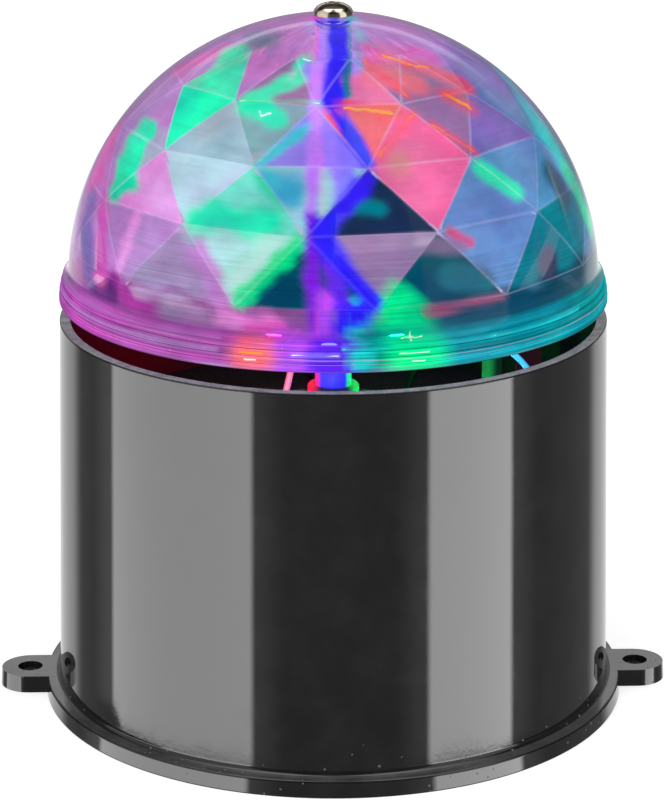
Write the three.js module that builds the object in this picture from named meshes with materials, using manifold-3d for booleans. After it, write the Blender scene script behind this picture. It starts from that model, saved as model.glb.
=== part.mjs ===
// Disco projector light: a clear faceted dome that turns on a post above a round black housing.
// Millimetres, +Z up. The origin is the centre of the housing's underside. The two screw ears lie
// along X, and the front faces -Y.
import * as THREE from 'three';
import { mergeVertices } from 'three/addons/utils/BufferGeometryUtils.js';
import Module from 'manifold-3d';

const wasm = await Module();
wasm.setup();

const degrees = THREE.MathUtils.degToRad;

// Sides of round shapes
const roundSides = 48;
const mediumSides = 20;
const smallSides = 12;
const screwSides = 8;
const wireSides = 8;

// Fits
const seat = 0.3;
const running = 0.1;
const slip = 0.4;
const overrun = 1;

// Housing
const rimRadius = 47.5;
const housingHeight = 68.5;
const draftAngle = degrees(1.2);
const wall = 2;
const rimRound = 0.3;
const flangeReach = 2.45;
const flangeThickness = 3;
const earHoleReach = 3;
const earHoleRadius = 2.2;
const earRadius = 5.2;
const bossRadius = 3.4;
const bossInset = 0.6;
const bossWebWidth = 2.4;
const baseBossHeight = 12;
const deckBossHeight = 9;

// Dome
const domeGap = 3.55;
const domeRadius = 45.9;
const domeWall = 1.6;
const domeCentreRise = 3.15;
const brimReach = 1.1;
const brimStepHeight = 1.1;
const brimStepInset = 0.28;
const brimSteps = 4;
const bandOverlap = 0.9;
const domeArcSteps = 10;
const facetCount = 12;
const facetPhase = degrees(-7.6);
const facetRowElevations = [8, 23.2, 37.7, 52.8, 67.5, 80].map(degrees);
const facetRowShifts = [0.5, 0, 0.5, 0, 0.5, 0];
const domeBossRadius = 3.45;
const domeBossDepth = 0.7;

// Screws
const domeScrewHead = 3.45;
const domeScrewHeadHeight = 2.2;
const domeScrewShank = 1.5;
const domeScrewLength = 12;
const largeScrewHead = 2.7;
const largeScrewHeadHeight = 1.7;
const largeScrewShank = 1.25;
const largeScrewLength = 9;
const smallScrewHead = 1.9;
const smallScrewHeadHeight = 1.2;
const smallScrewShank = 0.85;
const threadGap = 0.15;
const headSink = 0.4;
const crownShare = 0.45;
const crownTopShare = 0.6;
const recessDepthShare = 0.55;
const recessLengthShare = 1.15;
const recessWidthShare = 0.26;

// Base plate, battery bay and door
const baseRecess = 0.5;
const basePlateThickness = 3.5;
const bayWall = 1.5;
const ledgeWidth = 1.5;
const doorThickness = 2;
const hingePinRadius = 0.6;
const hingePinReach = 0.9;
const fingerNotchRadius = 6;
const fingerNotchDepth = 1.2;

// Battery cells and contacts
const cellCount = 3;
const cellRadius = 7.25;
const cellLength = 49.5;
const cellShoulder = 0.4;
const nubRadius = 2.75;
const nubLength = 1;
const cellGap = 0.5;
const cellRoom = 0.4;
const contactThickness = 0.5;
const contactWidth = 10;
const contactMargin = 1;
const tabWidth = 3;
const tabRise = 2.7;
const springLength = 4.5;
const springRadius = 3.6;
const springTipRadius = 2.2;
const springWireRadius = 0.3;
const springTurns = 3.5;

// Slide switch
const switchTravel = 4;
const knobLength = 4;
const knobWidth = 3;
const knobInset = 0.5;
const sliderBlockLength = 5.2;
const sliderBlockWidth = 4.8;
const sliderBlockHeight = 1.5;
const switchBodyLength = 12.6;
const switchBodyWidth = 7;
const switchBodyHeight = 5.2;
const switchFrameLength = 23;
const switchFrameThickness = 0.6;
const switchScrewSpacing = 19;
const pocketMargin = 1.2;
const pocketDepth = 1.7;
const terminalWidth = 1.2;
const terminalThickness = 0.5;
const terminalHeight = 3.5;
const terminalPitch = 4;

// Deck
const deckThickness = 2;
const towerRadius = 6;
const towerHeight = 6.5;
const bushFlange = 4.5;
const bushFlangeThickness = 1.9;
const bushWall = 0.9;
const roundPostRadius = 1.75;
const roundPostHeight = 14;
const roundPostX = 28.6;
const roundPostY = 10;
const squarePostWidth = 4.2;
const squarePostHeight = 12;
const squarePostX = 35.4;
const squarePostY = 13;
const gearPostRadius = 2.6;
const gearPostRoom = 1;
const wireHoleRoom = 0.4;

// Light board
const boardRadius = 20;
const boardThickness = 1.2;
const ledCircle = 13.5;
const ledAzimuths = { led_blue: degrees(-5), led_green: degrees(115), led_red: degrees(-125) };
const ledBaseRadius = 3.6;
const ledBaseHeight = 1.1;
const ledLensRadius = 2.3;
const ledLensHeight = 1.5;
const resistorLength = 3.2;
const resistorWidth = 1.6;
const resistorHeight = 0.6;
const resistorTurn = degrees(-30);
const boardScrewCircle = 16.5;
const boardScrewAzimuths = [degrees(55), degrees(-65)];

// Gear train
const gearModule = 0.5;
const pressureAngle = degrees(20);
const pinionTeeth = 8;
const wheelTeeth = 36;
const outputTeeth = 40;
const faceWidth = 2;
const layerGap = 0.5;
const gearHeadroom = 1;
const gearFootroom = 1.8;
const toothThinning = 0.08;
const gearPlateThickness = 2;
const plateMargin = 1.6;
const axleRadius = 0.75;
const axleSocketDepth = 1.4;
const hubWall = 0.5;
const secondGearBearing = degrees(150);
const firstGearBearing = degrees(210);
const motorBearing = degrees(270);
const gearPostBearings = [degrees(-56), degrees(74), degrees(165)];

// Spindle
const spindleRadius = 3.2;
const journalRadius = 2;
const lowerBushWall = 0.45;
const lowerBushFlange = 3.2;
const lowerBushFlangeThickness = 0.8;
const clipRadius = 3.4;
const clipThickness = 0.6;
const clipGrooveDepth = 0.4;
const clipMouth = 2.4;
const spindleFoot = 0.9;

// Motor
const motorRadius = 12.2;
const motorHeight = 10.5;
const motorEdge = 0.8;
const motorNoseRadius = 3;
const motorNoseHeight = 1.4;
const motorShaftRadius = 1;
const motorShaftDepth = 7;
const motorScrewCircle = 8.5;
const motorScrewLength = 5;
const endCapInset = 1.2;
const endCapThickness = 1.2;
const motorTabReach = 2.8;
const motorTabWidth = 1.6;
const motorTabThickness = 0.5;
const motorTabBearings = [degrees(20), degrees(-60)];
const motorRoom = 1.6;

// Wires
const wireRadius = 0.6;
const wireStep = 4;

// Solids

function facedOut(geometry) {
  const place = geometry.getAttribute('position');
  const corners = geometry.index.array;
  const [a, b, c] = [new THREE.Vector3(), new THREE.Vector3(), new THREE.Vector3()];
  let volume = 0;
  for (let i = 0; i < corners.length; i += 3) {
    a.fromBufferAttribute(place, corners[i]);
    b.fromBufferAttribute(place, corners[i + 1]);
    c.fromBufferAttribute(place, corners[i + 2]);
    volume += a.dot(b.cross(c));
  }
  if (volume < 0) {
    geometry.setIndex(Array.from(corners).reverse());
  }
  return geometry;
}

// Vertices that share a place become one, and the slivers that a lathe leaves on its axis go.
function welded(geometry) {
  const bare = new THREE.BufferGeometry();
  bare.setAttribute('position', geometry.getAttribute('position'));
  bare.setIndex(geometry.getIndex());
  const merged = mergeVertices(bare);
  const kept = [];
  for (let i = 0; i < merged.index.count; i += 3) {
    const [a, b, c] = merged.index.array.slice(i, i + 3);
    if (a !== b && b !== c && c !== a) {
      kept.push(a, b, c);
    }
  }
  return facedOut(merged.setIndex(kept));
}

function solid(shape) {
  if (shape instanceof wasm.Manifold) {
    return shape;
  }
  const shell = welded(shape);
  return new wasm.Manifold(new wasm.Mesh({
    numProp: 3,
    vertProperties: Float32Array.from(shell.getAttribute('position').array),
    triVerts: Uint32Array.from(shell.index.array),
  }));
}

function join(...shapes) {
  return shapes.map(solid).reduce((sum, next) => sum.add(next));
}

function cut(body, ...tools) {
  return tools.map(solid).reduce((rest, tool) => rest.subtract(tool), solid(body));
}

function geometryOf(shape) {
  const mesh = solid(shape).getMesh();
  const geometry = new THREE.BufferGeometry();
  geometry.setAttribute('position', new THREE.BufferAttribute(mesh.vertProperties, 3));
  geometry.setIndex(new THREE.BufferAttribute(mesh.triVerts, 1));
  geometry.computeVertexNormals();
  return geometry;
}

// A profile of [radius, height] pairs turned about Z
function turned(profile, sides = roundSides) {
  const points = profile.map(([radius, height]) => new THREE.Vector2(radius, height));
  return new THREE.LatheGeometry(points, sides).rotateX(Math.PI / 2);
}

function rod(radius, bottom, top, sides = smallSides) {
  const geometry = new THREE.CylinderGeometry(radius, radius, top - bottom, sides);
  return geometry.rotateX(Math.PI / 2).translate(0, 0, (bottom + top) / 2);
}

function block(length, width, bottom, top) {
  const geometry = new THREE.BoxGeometry(length, width, top - bottom);
  return geometry.translate(0, 0, (bottom + top) / 2);
}

function extruded(shape, bottom, top) {
  const options = { depth: top - bottom, bevelEnabled: false, curveSegments: smallSides };
  return new THREE.ExtrudeGeometry(shape, options).translate(0, 0, bottom);
}

// Circles in plan

function around(circle, azimuth) {
  return [circle * Math.sin(azimuth), -circle * Math.cos(azimuth)];
}

function toward([x, y], distance, bearing) {
  return [x + distance * Math.cos(bearing), y + distance * Math.sin(bearing)];
}

// The smallest outline round a set of [x, y, radius] circles
function hullShape(circles) {
  const points = [];
  for (const [x, y, radius] of circles) {
    for (let i = 0; i < mediumSides; i += 1) {
      points.push(new THREE.Vector2(...toward([x, y], radius, (2 * Math.PI * i) / mediumSides)));
    }
  }
  points.sort((p, q) => p.x - q.x || p.y - q.y);
  const half = (ordered) => {
    const chain = [];
    for (const point of ordered) {
      while (chain.length > 1) {
        const [p, q] = chain.slice(-2);
        if (q.clone().sub(p).cross(point.clone().sub(q)) > 0) {
          break;
        }
        chain.pop();
      }
      chain.push(point);
    }
    return chain.slice(0, -1);
  };
  return new THREE.Shape([...half(points), ...half(points.reverse())]);
}

// Materials

function finish(color, roughness, metalness = 0, opacity = 1) {
  const transparent = opacity < 1;
  return new THREE.MeshStandardMaterial({ color, roughness, metalness, opacity, transparent });
}

const glossBlack = { color: 0x141416, roughness: 0.18 };
const mattBlack = { color: 0x17171a, roughness: 0.6 };
const clear = { color: 0xc9b8dc, roughness: 0.06, opacity: 0.4 };
const nickel = { color: 0xb9ab94, roughness: 0.22, metalness: 1 };
const zinc = { color: 0xa9abae, roughness: 0.35, metalness: 1 };
const brass = { color: 0xb8924a, roughness: 0.3, metalness: 1 };
const nylon = { color: 0xe6e2d6, roughness: 0.5 };
const postPlastic = { color: 0xd4d2dc, roughness: 0.3 };
const boardGreen = { color: 0x143322, roughness: 0.5 };
const phenolic = { color: 0x3a2a1e, roughness: 0.7 };
const cellJacket = { color: 0x2a5f9e, roughness: 0.35 };

function addPart(group, name, shape, look) {
  const material = finish(look.color, look.roughness, look.metalness, look.opacity);
  const mesh = new THREE.Mesh(geometryOf(shape), material);
  mesh.name = name;
  group.add(mesh);
  return mesh;
}

// Heights up the object

const basePlateTop = baseRecess + basePlateThickness;
const doorTop = baseRecess + doorThickness;
const ledgeHeight = doorTop + seat;
const cellAxisHeight = doorTop + cellRoom + cellRadius;
const bayCeiling = cellAxisHeight + cellRadius + cellRoom;
const bayTop = bayCeiling + bayWall;

const endCapBottom = bayTop + motorRoom;
const endCapTop = endCapBottom + endCapThickness;
const motorBottom = endCapTop + seat;
const motorTop = motorBottom + motorHeight;
const gearPlateBottom = motorTop + seat;
const gearPlateTop = gearPlateBottom + gearPlateThickness;
const layerPitch = faceWidth + layerGap;
const bottomLayer = gearPlateTop + gearFootroom;
const middleLayer = bottomLayer + layerPitch;
const topLayer = middleLayer + layerPitch;
const deckBottom = topLayer + faceWidth + gearHeadroom;
const deckTop = deckBottom + deckThickness;

const towerTop = deckTop + towerHeight;
const boardBottom = deckTop + seat;
const boardTop = boardBottom + boardThickness;

const brimBottom = housingHeight + domeGap;
const domeCentre = brimBottom + domeCentreRise;
const domeTop = domeCentre + domeRadius;
const domeInnerRadius = domeRadius - domeWall;
const domeBossBottom = domeCentre + domeInnerRadius - domeBossDepth;
const spindleTop = domeBossBottom - seat;

// Radii of the drafted wall, and what follows it

function outerRadiusAt(height) {
  return rimRadius + (housingHeight - height) * Math.tan(draftAngle);
}

function innerRadiusAt(height) {
  return outerRadiusAt(height) - wall;
}

const flangeRadius = outerRadiusAt(0) + flangeReach;
const earHoleX = flangeRadius + earHoleReach;
const basePlateRadius = innerRadiusAt(basePlateTop) - slip;
const deckRadius = innerRadiusAt(housingHeight) - running;
const baseBossCircle = innerRadiusAt(0) - bossInset - bossRadius;
const deckBossCircle = innerRadiusAt(deckBottom) - bossInset - bossRadius;
const baseBossPlaces = [45, 135, 225, 315].map((angle) => toward([0, 0], baseBossCircle, degrees(angle)));
const deckBossPlaces = [90, 210, 330].map((angle) => toward([0, 0], deckBossCircle, degrees(angle)));

// Battery bay plan

const cellPitch = 2 * cellRadius + cellGap;
const bayWidth = cellCount * cellPitch - cellGap + 2 * cellRoom;
const contactSpace = seat + contactThickness;
const bayLength = contactSpace + seat + nubLength + cellLength + seat + springLength + contactSpace;
const contactX = bayLength / 2 - seat - contactThickness / 2;
const recessLength = bayLength + 2 * ledgeWidth;
const recessWidth = bayWidth + 2 * ledgeWidth;
const doorLength = recessLength - 2 * slip;
const doorWidth = recessWidth - 2 * slip;
const hingeX = doorThickness / 2 - doorLength / 2;
const hingeZ = baseRecess + doorThickness / 2;

// Gear centres in plan

const meshDistance = (gearModule * (pinionTeeth + wheelTeeth)) / 2;
const outputDistance = (gearModule * (pinionTeeth + outputTeeth)) / 2;
const outputPlace = [0, 0];
const secondPlace = toward(outputPlace, outputDistance, secondGearBearing);
const firstPlace = toward(secondPlace, meshDistance, firstGearBearing);
const motorPlace = toward(firstPlace, meshDistance, motorBearing);
const wheelAddendum = gearModule / 2;
const pinionAddendum = gearModule;
const outputTip = (gearModule * outputTeeth) / 2 + wheelAddendum;
const wheelTip = (gearModule * wheelTeeth) / 2 + wheelAddendum;
const gearPostSpace = gearPostRadius + gearPostRoom;
const gearPostPlaces = [
  toward(outputPlace, outputTip + gearPostSpace, gearPostBearings[0]),
  toward(outputPlace, outputTip + gearPostSpace, gearPostBearings[1]),
  toward(firstPlace, wheelTip + gearPostSpace, gearPostBearings[2]),
];
const motorScrewPlaces = [0, Math.PI].map((bearing) => toward(motorPlace, motorScrewCircle, bearing));
const boardScrewPlaces = boardScrewAzimuths.map((azimuth) => around(boardScrewCircle, azimuth));

// Switch plan

const switchY = (recessWidth / 2 + basePlateRadius) / 2;
const switchFrameBottom = basePlateTop + seat;
const switchFrameTop = switchFrameBottom + switchFrameThickness;
const switchBodyBottom = switchFrameTop + seat;
const switchBodyTop = switchBodyBottom + switchBodyHeight;
const terminalTop = switchBodyTop + terminalHeight;
const knobSlotLength = knobLength + switchTravel + 2 * slip;
const knobSlotWidth = knobWidth + 2 * slip;
const switchScrewPlaces = [-1, 1].map((side) => [(side * switchScrewSpacing) / 2, switchY]);

// Wire routes, from end to end

const tabTop = cellAxisHeight + cellRadius - contactMargin + bayWall + contactMargin + tabRise;
const wireEnd = seat + wireRadius;
const rightHole = [37, -1.5];
const frontHole = [-10, -22];
const motorTabHeight = endCapBottom + endCapThickness / 2;
const [plusTabEnd, minusTabEnd] = motorTabBearings.map((bearing) => {
  return toward(motorPlace, motorRadius - endCapInset + motorTabReach + seat, bearing);
});
const wireRoutes = {
  wire_battery_plus: [
    [-contactX, cellPitch, tabTop + seat],
    [-contactX, cellPitch + 1, tabTop + 1.4],
    [-25, 22, tabTop + 0.6],
    [-18, 28, 19],
    [-6, 33.5, 17.2],
    [-1, switchY, 16.6],
    [0, switchY, terminalTop + seat],
  ],
  wire_board_plus: [
    [terminalPitch, switchY, terminalTop + seat],
    [terminalPitch + 0.4, switchY, 16.4],
    [10, 34, 23],
    [22, 28, 33],
    [33, 13, 39],
    [37, 1, 42],
    [...rightHole, deckBottom],
    [...rightHole, 51],
    [35.6, -1.4, 56],
    [33.5, -1, 59.2],
    [31, -0.5, 61.4],
    [26, 2.5, 63.4],
    [19, 7.5, 60.5],
    [14.4, 10.6, 54],
    [13.4, 11, boardTop + seat],
  ],
  wire_battery_minus: [
    [contactX, -cellPitch, tabTop + seat],
    [28, -16, 24.2],
    [23, -21.5, 30],
    [10, -27.5, 37],
    [-4, -27, 40.5],
    [-10, -23, 42.6],
    [...frontHole, deckBottom],
    [...frontHole, 51],
    [-9.3, -20, 57],
    [-7.8, -16, 62.2],
    [-6.4, -8, 66],
    [-6.2, 0, 65],
    [-5.4, 7.4, 58],
    [-3.4, 9.8, 52],
    [-3, 10, boardTop + seat],
  ],
  wire_motor_plus: [
    [...plusTabEnd, motorTabHeight],
    [-4, -2, motorTabHeight - 0.3],
    [0, 8, 21.4],
    [3, 18, 21.6],
    [4, 25.5, 20.2],
    [terminalPitch, 30, 14],
    [terminalPitch, switchY - terminalThickness / 2 - seat, 12.2],
  ],
  wire_motor_minus: [
    [...minusTabEnd, motorTabHeight],
    [-8, -25, 21.6],
    [8, -26, 21.6],
    [20, -21, 21.4],
    [25.4, -15.6, 21.2],
    [contactX - contactThickness / 2 - seat, -cellPitch, 21.2],
  ],
};

// Fasteners

function panScrew(head, headHeight, shank, length) {
  const body = turned([
    [0, -length],
    [shank, shank - length],
    [shank, 0],
    [head, 0],
    [head, headHeight * crownShare],
    [head * crownTopShare, headHeight],
    [0, headHeight],
  ], screwSides);
  const recessDepth = headHeight * recessDepthShare;
  const arm = head * recessLengthShare;
  const slot = head * recessWidthShare;
  const across = block(arm, slot, headHeight - recessDepth, headHeight + overrun);
  const along = block(slot, arm, headHeight - recessDepth, headHeight + overrun);
  return cut(body, across, along);
}

// A screw whose head rests on the level given, its head up, or down when turned over
function addScrew(group, name, shape, [x, y], level, headDown, look) {
  const mesh = addPart(group, name, shape, look);
  mesh.position.set(x, y, headDown ? level - seat : level + seat);
  mesh.rotation.x = headDown ? Math.PI : 0;
}

function addLargeScrews(group, stem, places, level, headDown) {
  places.forEach((place, i) => {
    const shape = panScrew(largeScrewHead, largeScrewHeadHeight, largeScrewShank, largeScrewLength);
    addScrew(group, `${stem}_${i + 1}`, shape, place, level, headDown, zinc);
  });
}

function addSmallScrews(group, stem, places, level, headDown, length) {
  places.forEach((place, i) => {
    const shape = panScrew(smallScrewHead, smallScrewHeadHeight, smallScrewShank, length);
    addScrew(group, `${stem}_${i + 1}`, shape, place, level, headDown, zinc);
  });
}

function drills(places, radius, bottom, top, sides = screwSides) {
  return places.map(([x, y]) => rod(radius, bottom, top, sides).translate(x, y, 0));
}

// Housing

function housingShell() {
  const foot = outerRadiusAt(flangeThickness);
  return turned([
    [innerRadiusAt(0), 0],
    [flangeRadius, 0],
    [flangeRadius, flangeThickness],
    [foot, flangeThickness],
    [outerRadiusAt(housingHeight - rimRound), housingHeight - rimRound],
    [rimRadius - rimRound, housingHeight],
    [innerRadiusAt(housingHeight), housingHeight],
    [innerRadiusAt(0), 0],
  ]);
}

function ear(side) {
  const shape = new THREE.Shape();
  const root = outerRadiusAt(flangeThickness) - earHoleX - wall / 2;
  shape.moveTo(root, -earRadius);
  shape.lineTo(0, -earRadius);
  shape.absarc(0, 0, earRadius, -Math.PI / 2, Math.PI / 2, false);
  shape.lineTo(root, earRadius);
  const plate = cut(
    extruded(shape, 0, flangeThickness),
    rod(earHoleRadius, -overrun, flangeThickness + overrun, mediumSides),
  );
  const geometry = geometryOf(plate).rotateZ(side > 0 ? 0 : Math.PI);
  return geometry.translate(side * earHoleX, 0, 0);
}

// A screw boss beside the wall, with a web that ties it to the wall
function wallBoss([x, y], bottom, top) {
  const reach = wall / 2 + bossInset + bossRadius;
  const web = block(reach, bossWebWidth, bottom, top).translate(reach / 2, 0, 0);
  return join(rod(bossRadius, bottom, top), web.rotateZ(Math.atan2(y, x))).translate([x, y, 0]);
}

function housing() {
  const baseBosses = baseBossPlaces.map((place) => {
    return wallBoss(place, basePlateTop + seat, basePlateTop + seat + baseBossHeight);
  });
  const deckSeat = deckBottom - seat;
  const deckBosses = deckBossPlaces.map((place) => wallBoss(place, deckSeat - deckBossHeight, deckSeat));
  const shell = join(housingShell(), ear(1), ear(-1), ...baseBosses, ...deckBosses);
  const pilot = largeScrewShank + threadGap;
  return cut(
    shell,
    ...drills(baseBossPlaces, pilot, basePlateTop, basePlateTop + largeScrewLength),
    ...drills(deckBossPlaces, pilot, deckBottom - largeScrewLength, deckBottom),
  );
}

// Base plate with the battery bay

function snapSlot(side) {
  const radius = hingePinRadius + running;
  const reach = hingePinReach + slip;
  const hole = rod(radius, 0, reach, screwSides).rotateX(-Math.PI / 2).translate(0, 0, hingeZ);
  const mouth = block(2 * radius, reach, baseRecess - overrun, hingeZ).translate(0, reach / 2, 0);
  const slot = geometryOf(join(hole, mouth));
  return slot.rotateZ(side > 0 ? 0 : Math.PI).translate(hingeX, (side * recessWidth) / 2, 0);
}

function basePlate() {
  const disc = rod(basePlateRadius, baseRecess, basePlateTop, roundSides);
  const box = block(bayLength + 2 * bayWall, bayWidth + 2 * bayWall, baseRecess, bayTop);
  const inside = block(bayLength, bayWidth, baseRecess, bayCeiling);
  const recess = block(recessLength, recessWidth, baseRecess - overrun, ledgeHeight);
  const tabSlots = [-1, 1].map((side) => {
    const slot = block(contactThickness + 2 * seat, tabWidth + 2 * seat, bayCeiling - overrun, bayTop + overrun);
    return slot.translate(side * contactX, -side * cellPitch, 0);
  });
  const notch = rod(fingerNotchRadius, baseRecess - overrun, baseRecess + fingerNotchDepth, mediumSides);
  const pocketLength = knobSlotLength + 2 * pocketMargin;
  const pocketWidth = knobSlotWidth + 2 * pocketMargin;
  const pocket = block(pocketLength, pocketWidth, baseRecess - overrun, baseRecess + pocketDepth);
  const knobSlot = block(knobSlotLength, knobSlotWidth, baseRecess, basePlateTop + overrun);
  const largeSink = baseRecess + largeScrewHeadHeight + headSink;
  const smallSink = baseRecess + smallScrewHeadHeight + headSink;
  return cut(
    join(disc, box),
    inside,
    recess,
    ...tabSlots,
    snapSlot(1),
    snapSlot(-1),
    notch.translate(recessLength / 2, 0, 0),
    pocket.translate(0, switchY, 0),
    knobSlot.translate(0, switchY, 0),
    ...drills(baseBossPlaces, largeScrewShank + slip, baseRecess, basePlateTop + overrun),
    ...drills(baseBossPlaces, largeScrewHead + slip, baseRecess - overrun, largeSink, smallSides),
    ...drills(switchScrewPlaces, smallScrewShank + running, baseRecess, basePlateTop + overrun),
    ...drills(switchScrewPlaces, smallScrewHead + running, baseRecess - overrun, smallSink, smallSides),
  );
}

// The door's hinge edge is round about its two pins
function batteryDoor() {
  const half = doorThickness / 2;
  const plate = block(doorLength - half, doorWidth, baseRecess, doorTop).translate(half / 2, 0, 0);
  const edge = rod(half, -doorWidth / 2, doorWidth / 2).rotateX(Math.PI / 2).translate(hingeX, 0, hingeZ);
  const pinHalf = recessWidth / 2 + hingePinReach;
  const pins = rod(hingePinRadius, -pinHalf, pinHalf, screwSides).rotateX(Math.PI / 2);
  return join(plate, edge, pins.translate(hingeX, 0, hingeZ));
}

// Battery cells, laid along X, with every second one turned round

function cellShape() {
  return turned([
    [0, 0],
    [cellRadius - cellShoulder, 0],
    [cellRadius, cellShoulder],
    [cellRadius, cellLength - cellShoulder],
    [cellRadius - cellShoulder, cellLength],
    [nubRadius, cellLength],
    [nubRadius, cellLength + nubLength],
    [0, cellLength + nubLength],
  ], mediumSides);
}

function plusSide(index) {
  return index % 2 === 0 ? -1 : 1;
}

function cellY(index) {
  return cellPitch * ((cellCount - 1) / 2 - index);
}

function addCells(group) {
  for (let i = 0; i < cellCount; i += 1) {
    const mesh = addPart(group, `battery_${i + 1}`, cellShape(), cellJacket);
    const nubTip = contactX - contactThickness / 2 - seat;
    mesh.rotation.y = (plusSide(i) * Math.PI) / 2;
    mesh.position.set(plusSide(i) * (nubTip - nubLength - cellLength), cellY(i), cellAxisHeight);
  }
}

// Contacts: upright plates at the bay's ends, with a tapering coil spring under each minus end

class TaperedHelix extends THREE.Curve {
  getPoint(share, target = new THREE.Vector3()) {
    const radius = springRadius + (springTipRadius - springRadius) * share;
    const angle = 2 * Math.PI * springTurns * share;
    const height = (springLength - 2 * springWireRadius) * share;
    return target.set(radius * Math.cos(angle), radius * Math.sin(angle), height);
  }
}

function ringShape(radius, sides) {
  const points = [];
  for (let i = 0; i < sides; i += 1) {
    points.push(new THREE.Vector2(...toward([0, 0], radius, (2 * Math.PI * i) / sides)));
  }
  return new THREE.Shape(points);
}

function springShape() {
  const stepsPerTurn = 8;
  const options = {
    steps: Math.round(springTurns * stepsPerTurn),
    extrudePath: new TaperedHelix(),
    bevelEnabled: false,
  };
  return new THREE.ExtrudeGeometry(ringShape(springWireRadius, 5), options);
}

function springTurnGap() {
  const pitch = (springLength - 2 * springWireRadius) / springTurns;
  const taper = (springRadius - springTipRadius) / springTurns;
  return Math.hypot(pitch, taper) - 2 * springWireRadius;
}

console.log(`least gap between spring turns ${springTurnGap().toFixed(2)} mm`);

// A plate at one end of the bay over the cells listed, sprung where the cell's minus end is
function contact(side, cells, tab) {
  const bottom = cellAxisHeight - cellRadius + contactMargin;
  const top = cellAxisHeight + cellRadius - contactMargin;
  const ys = cells.map(cellY);
  const width = Math.max(...ys) - Math.min(...ys) + contactWidth;
  const middle = (Math.max(...ys) + Math.min(...ys)) / 2;
  const parts = [block(contactThickness, width, bottom, top).translate(side * contactX, middle, 0)];
  if (tab) {
    parts.push(block(contactThickness, tabWidth, bottom, tabTop).translate(side * contactX, middle, 0));
  }
  for (const cell of cells.filter((index) => plusSide(index) !== side)) {
    const foot = side * (contactX - contactThickness / 2 - springWireRadius / 2);
    const spring = springShape().rotateY((-side * Math.PI) / 2);
    parts.push(spring.translate(foot, cellY(cell), cellAxisHeight));
  }
  return join(...parts);
}

function addContacts(group) {
  addPart(group, 'contact_positive', contact(-1, [0], true), zinc);
  addPart(group, 'contact_bridge_right', contact(1, [0, 1], false), zinc);
  addPart(group, 'contact_bridge_left', contact(-1, [1, 2], false), zinc);
  addPart(group, 'contact_negative', contact(1, [2], true), zinc);
}

// Slide switch on the base plate, behind the battery bay

function switchFrame() {
  const plate = block(switchFrameLength, switchBodyWidth, switchFrameBottom, switchFrameTop);
  const slot = block(knobSlotLength, knobSlotWidth, switchFrameBottom - overrun, switchFrameTop + overrun);
  const holes = drills(
    switchScrewPlaces,
    smallScrewShank + threadGap,
    switchFrameBottom - overrun,
    switchFrameTop + overrun,
  );
  return cut(plate.translate(0, switchY, 0), slot.translate(0, switchY, 0), ...holes);
}

function switchBody() {
  const shell = block(switchBodyLength, switchBodyWidth, switchBodyBottom, switchBodyTop);
  const cavity = block(
    sliderBlockLength + switchTravel + 2 * slip,
    sliderBlockWidth + 2 * slip,
    switchBodyBottom - overrun,
    switchBodyBottom + sliderBlockHeight + 2 * seat,
  );
  const terminals = [-1, 0, 1].map((side) => {
    const pin = block(terminalWidth, terminalThickness, switchBodyTop - overrun, terminalTop);
    return pin.translate(side * terminalPitch, 0, 0);
  });
  return geometryOf(cut(join(shell, ...terminals), cavity)).translate(0, switchY, 0);
}

function switchSlider() {
  const blockBottom = switchBodyBottom + running;
  const blockTop = switchBodyBottom + sliderBlockHeight;
  return geometryOf(join(
    block(sliderBlockLength, sliderBlockWidth, blockBottom, blockTop),
    block(knobLength, knobWidth, baseRecess + knobInset, blockBottom + running),
  ));
}

function addSwitch(group, sliderGroup) {
  addPart(group, 'switch_frame', switchFrame(), zinc);
  addPart(group, 'switch_body', switchBody(), phenolic);
  const slider = addPart(sliderGroup, 'switch_slider', switchSlider(), mattBlack);
  slider.position.set(switchTravel / 2, switchY, 0);
  const level = baseRecess + smallScrewHeadHeight + headSink;
  const length = switchFrameTop - level + 2 * overrun;
  addSmallScrews(group, 'switch_screw', switchScrewPlaces, level, true, length);
}

// Deck

function deck() {
  const gearPosts = gearPostPlaces.map(([x, y]) => {
    return rod(gearPostRadius, gearPlateTop + seat, deckBottom + overrun).translate(x, y, 0);
  });
  const tower = rod(towerRadius, deckBottom, towerTop, mediumSides);
  const roundPost = rod(roundPostRadius, deckBottom, deckTop + roundPostHeight);
  const squarePost = block(squarePostWidth, squarePostWidth, deckBottom, deckTop + squarePostHeight);
  const body = join(
    rod(deckRadius, deckBottom, deckTop, roundSides),
    tower,
    roundPost.translate(roundPostX, roundPostY, 0),
    squarePost.translate(squarePostX, squarePostY, 0),
    ...gearPosts,
  );
  const bushHole = spindleRadius + running + bushWall + running;
  const wireHole = wireRadius + wireHoleRoom;
  const axleHole = axleRadius + running;
  const pilot = smallScrewShank + threadGap;
  return cut(
    body,
    rod(bushHole, deckBottom - overrun, towerTop + overrun, mediumSides),
    ...drills([rightHole, frontHole], wireHole, deckBottom - overrun, deckTop + overrun),
    ...drills(deckBossPlaces, largeScrewShank + slip, deckBottom - overrun, deckTop + overrun),
    ...drills([firstPlace, secondPlace], axleHole, deckBottom - overrun, deckBottom + axleSocketDepth),
    ...drills(boardScrewPlaces, pilot, deckBottom - overrun, deckTop + overrun),
    ...drills(gearPostPlaces, pilot, gearPlateTop, deckBottom),
  );
}

// Light board

function ledShape() {
  const profile = [
    [0, 0],
    [ledBaseRadius, 0],
    [ledBaseRadius, ledBaseHeight],
  ];
  const rings = 4;
  for (let i = 0; i < rings; i += 1) {
    const angle = (Math.PI / 2) * (i / rings);
    profile.push([ledLensRadius * Math.cos(angle), ledBaseHeight + ledLensHeight * Math.sin(angle)]);
  }
  profile.push([0, ledBaseHeight + ledLensHeight]);
  return turned(profile, smallSides);
}

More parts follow.
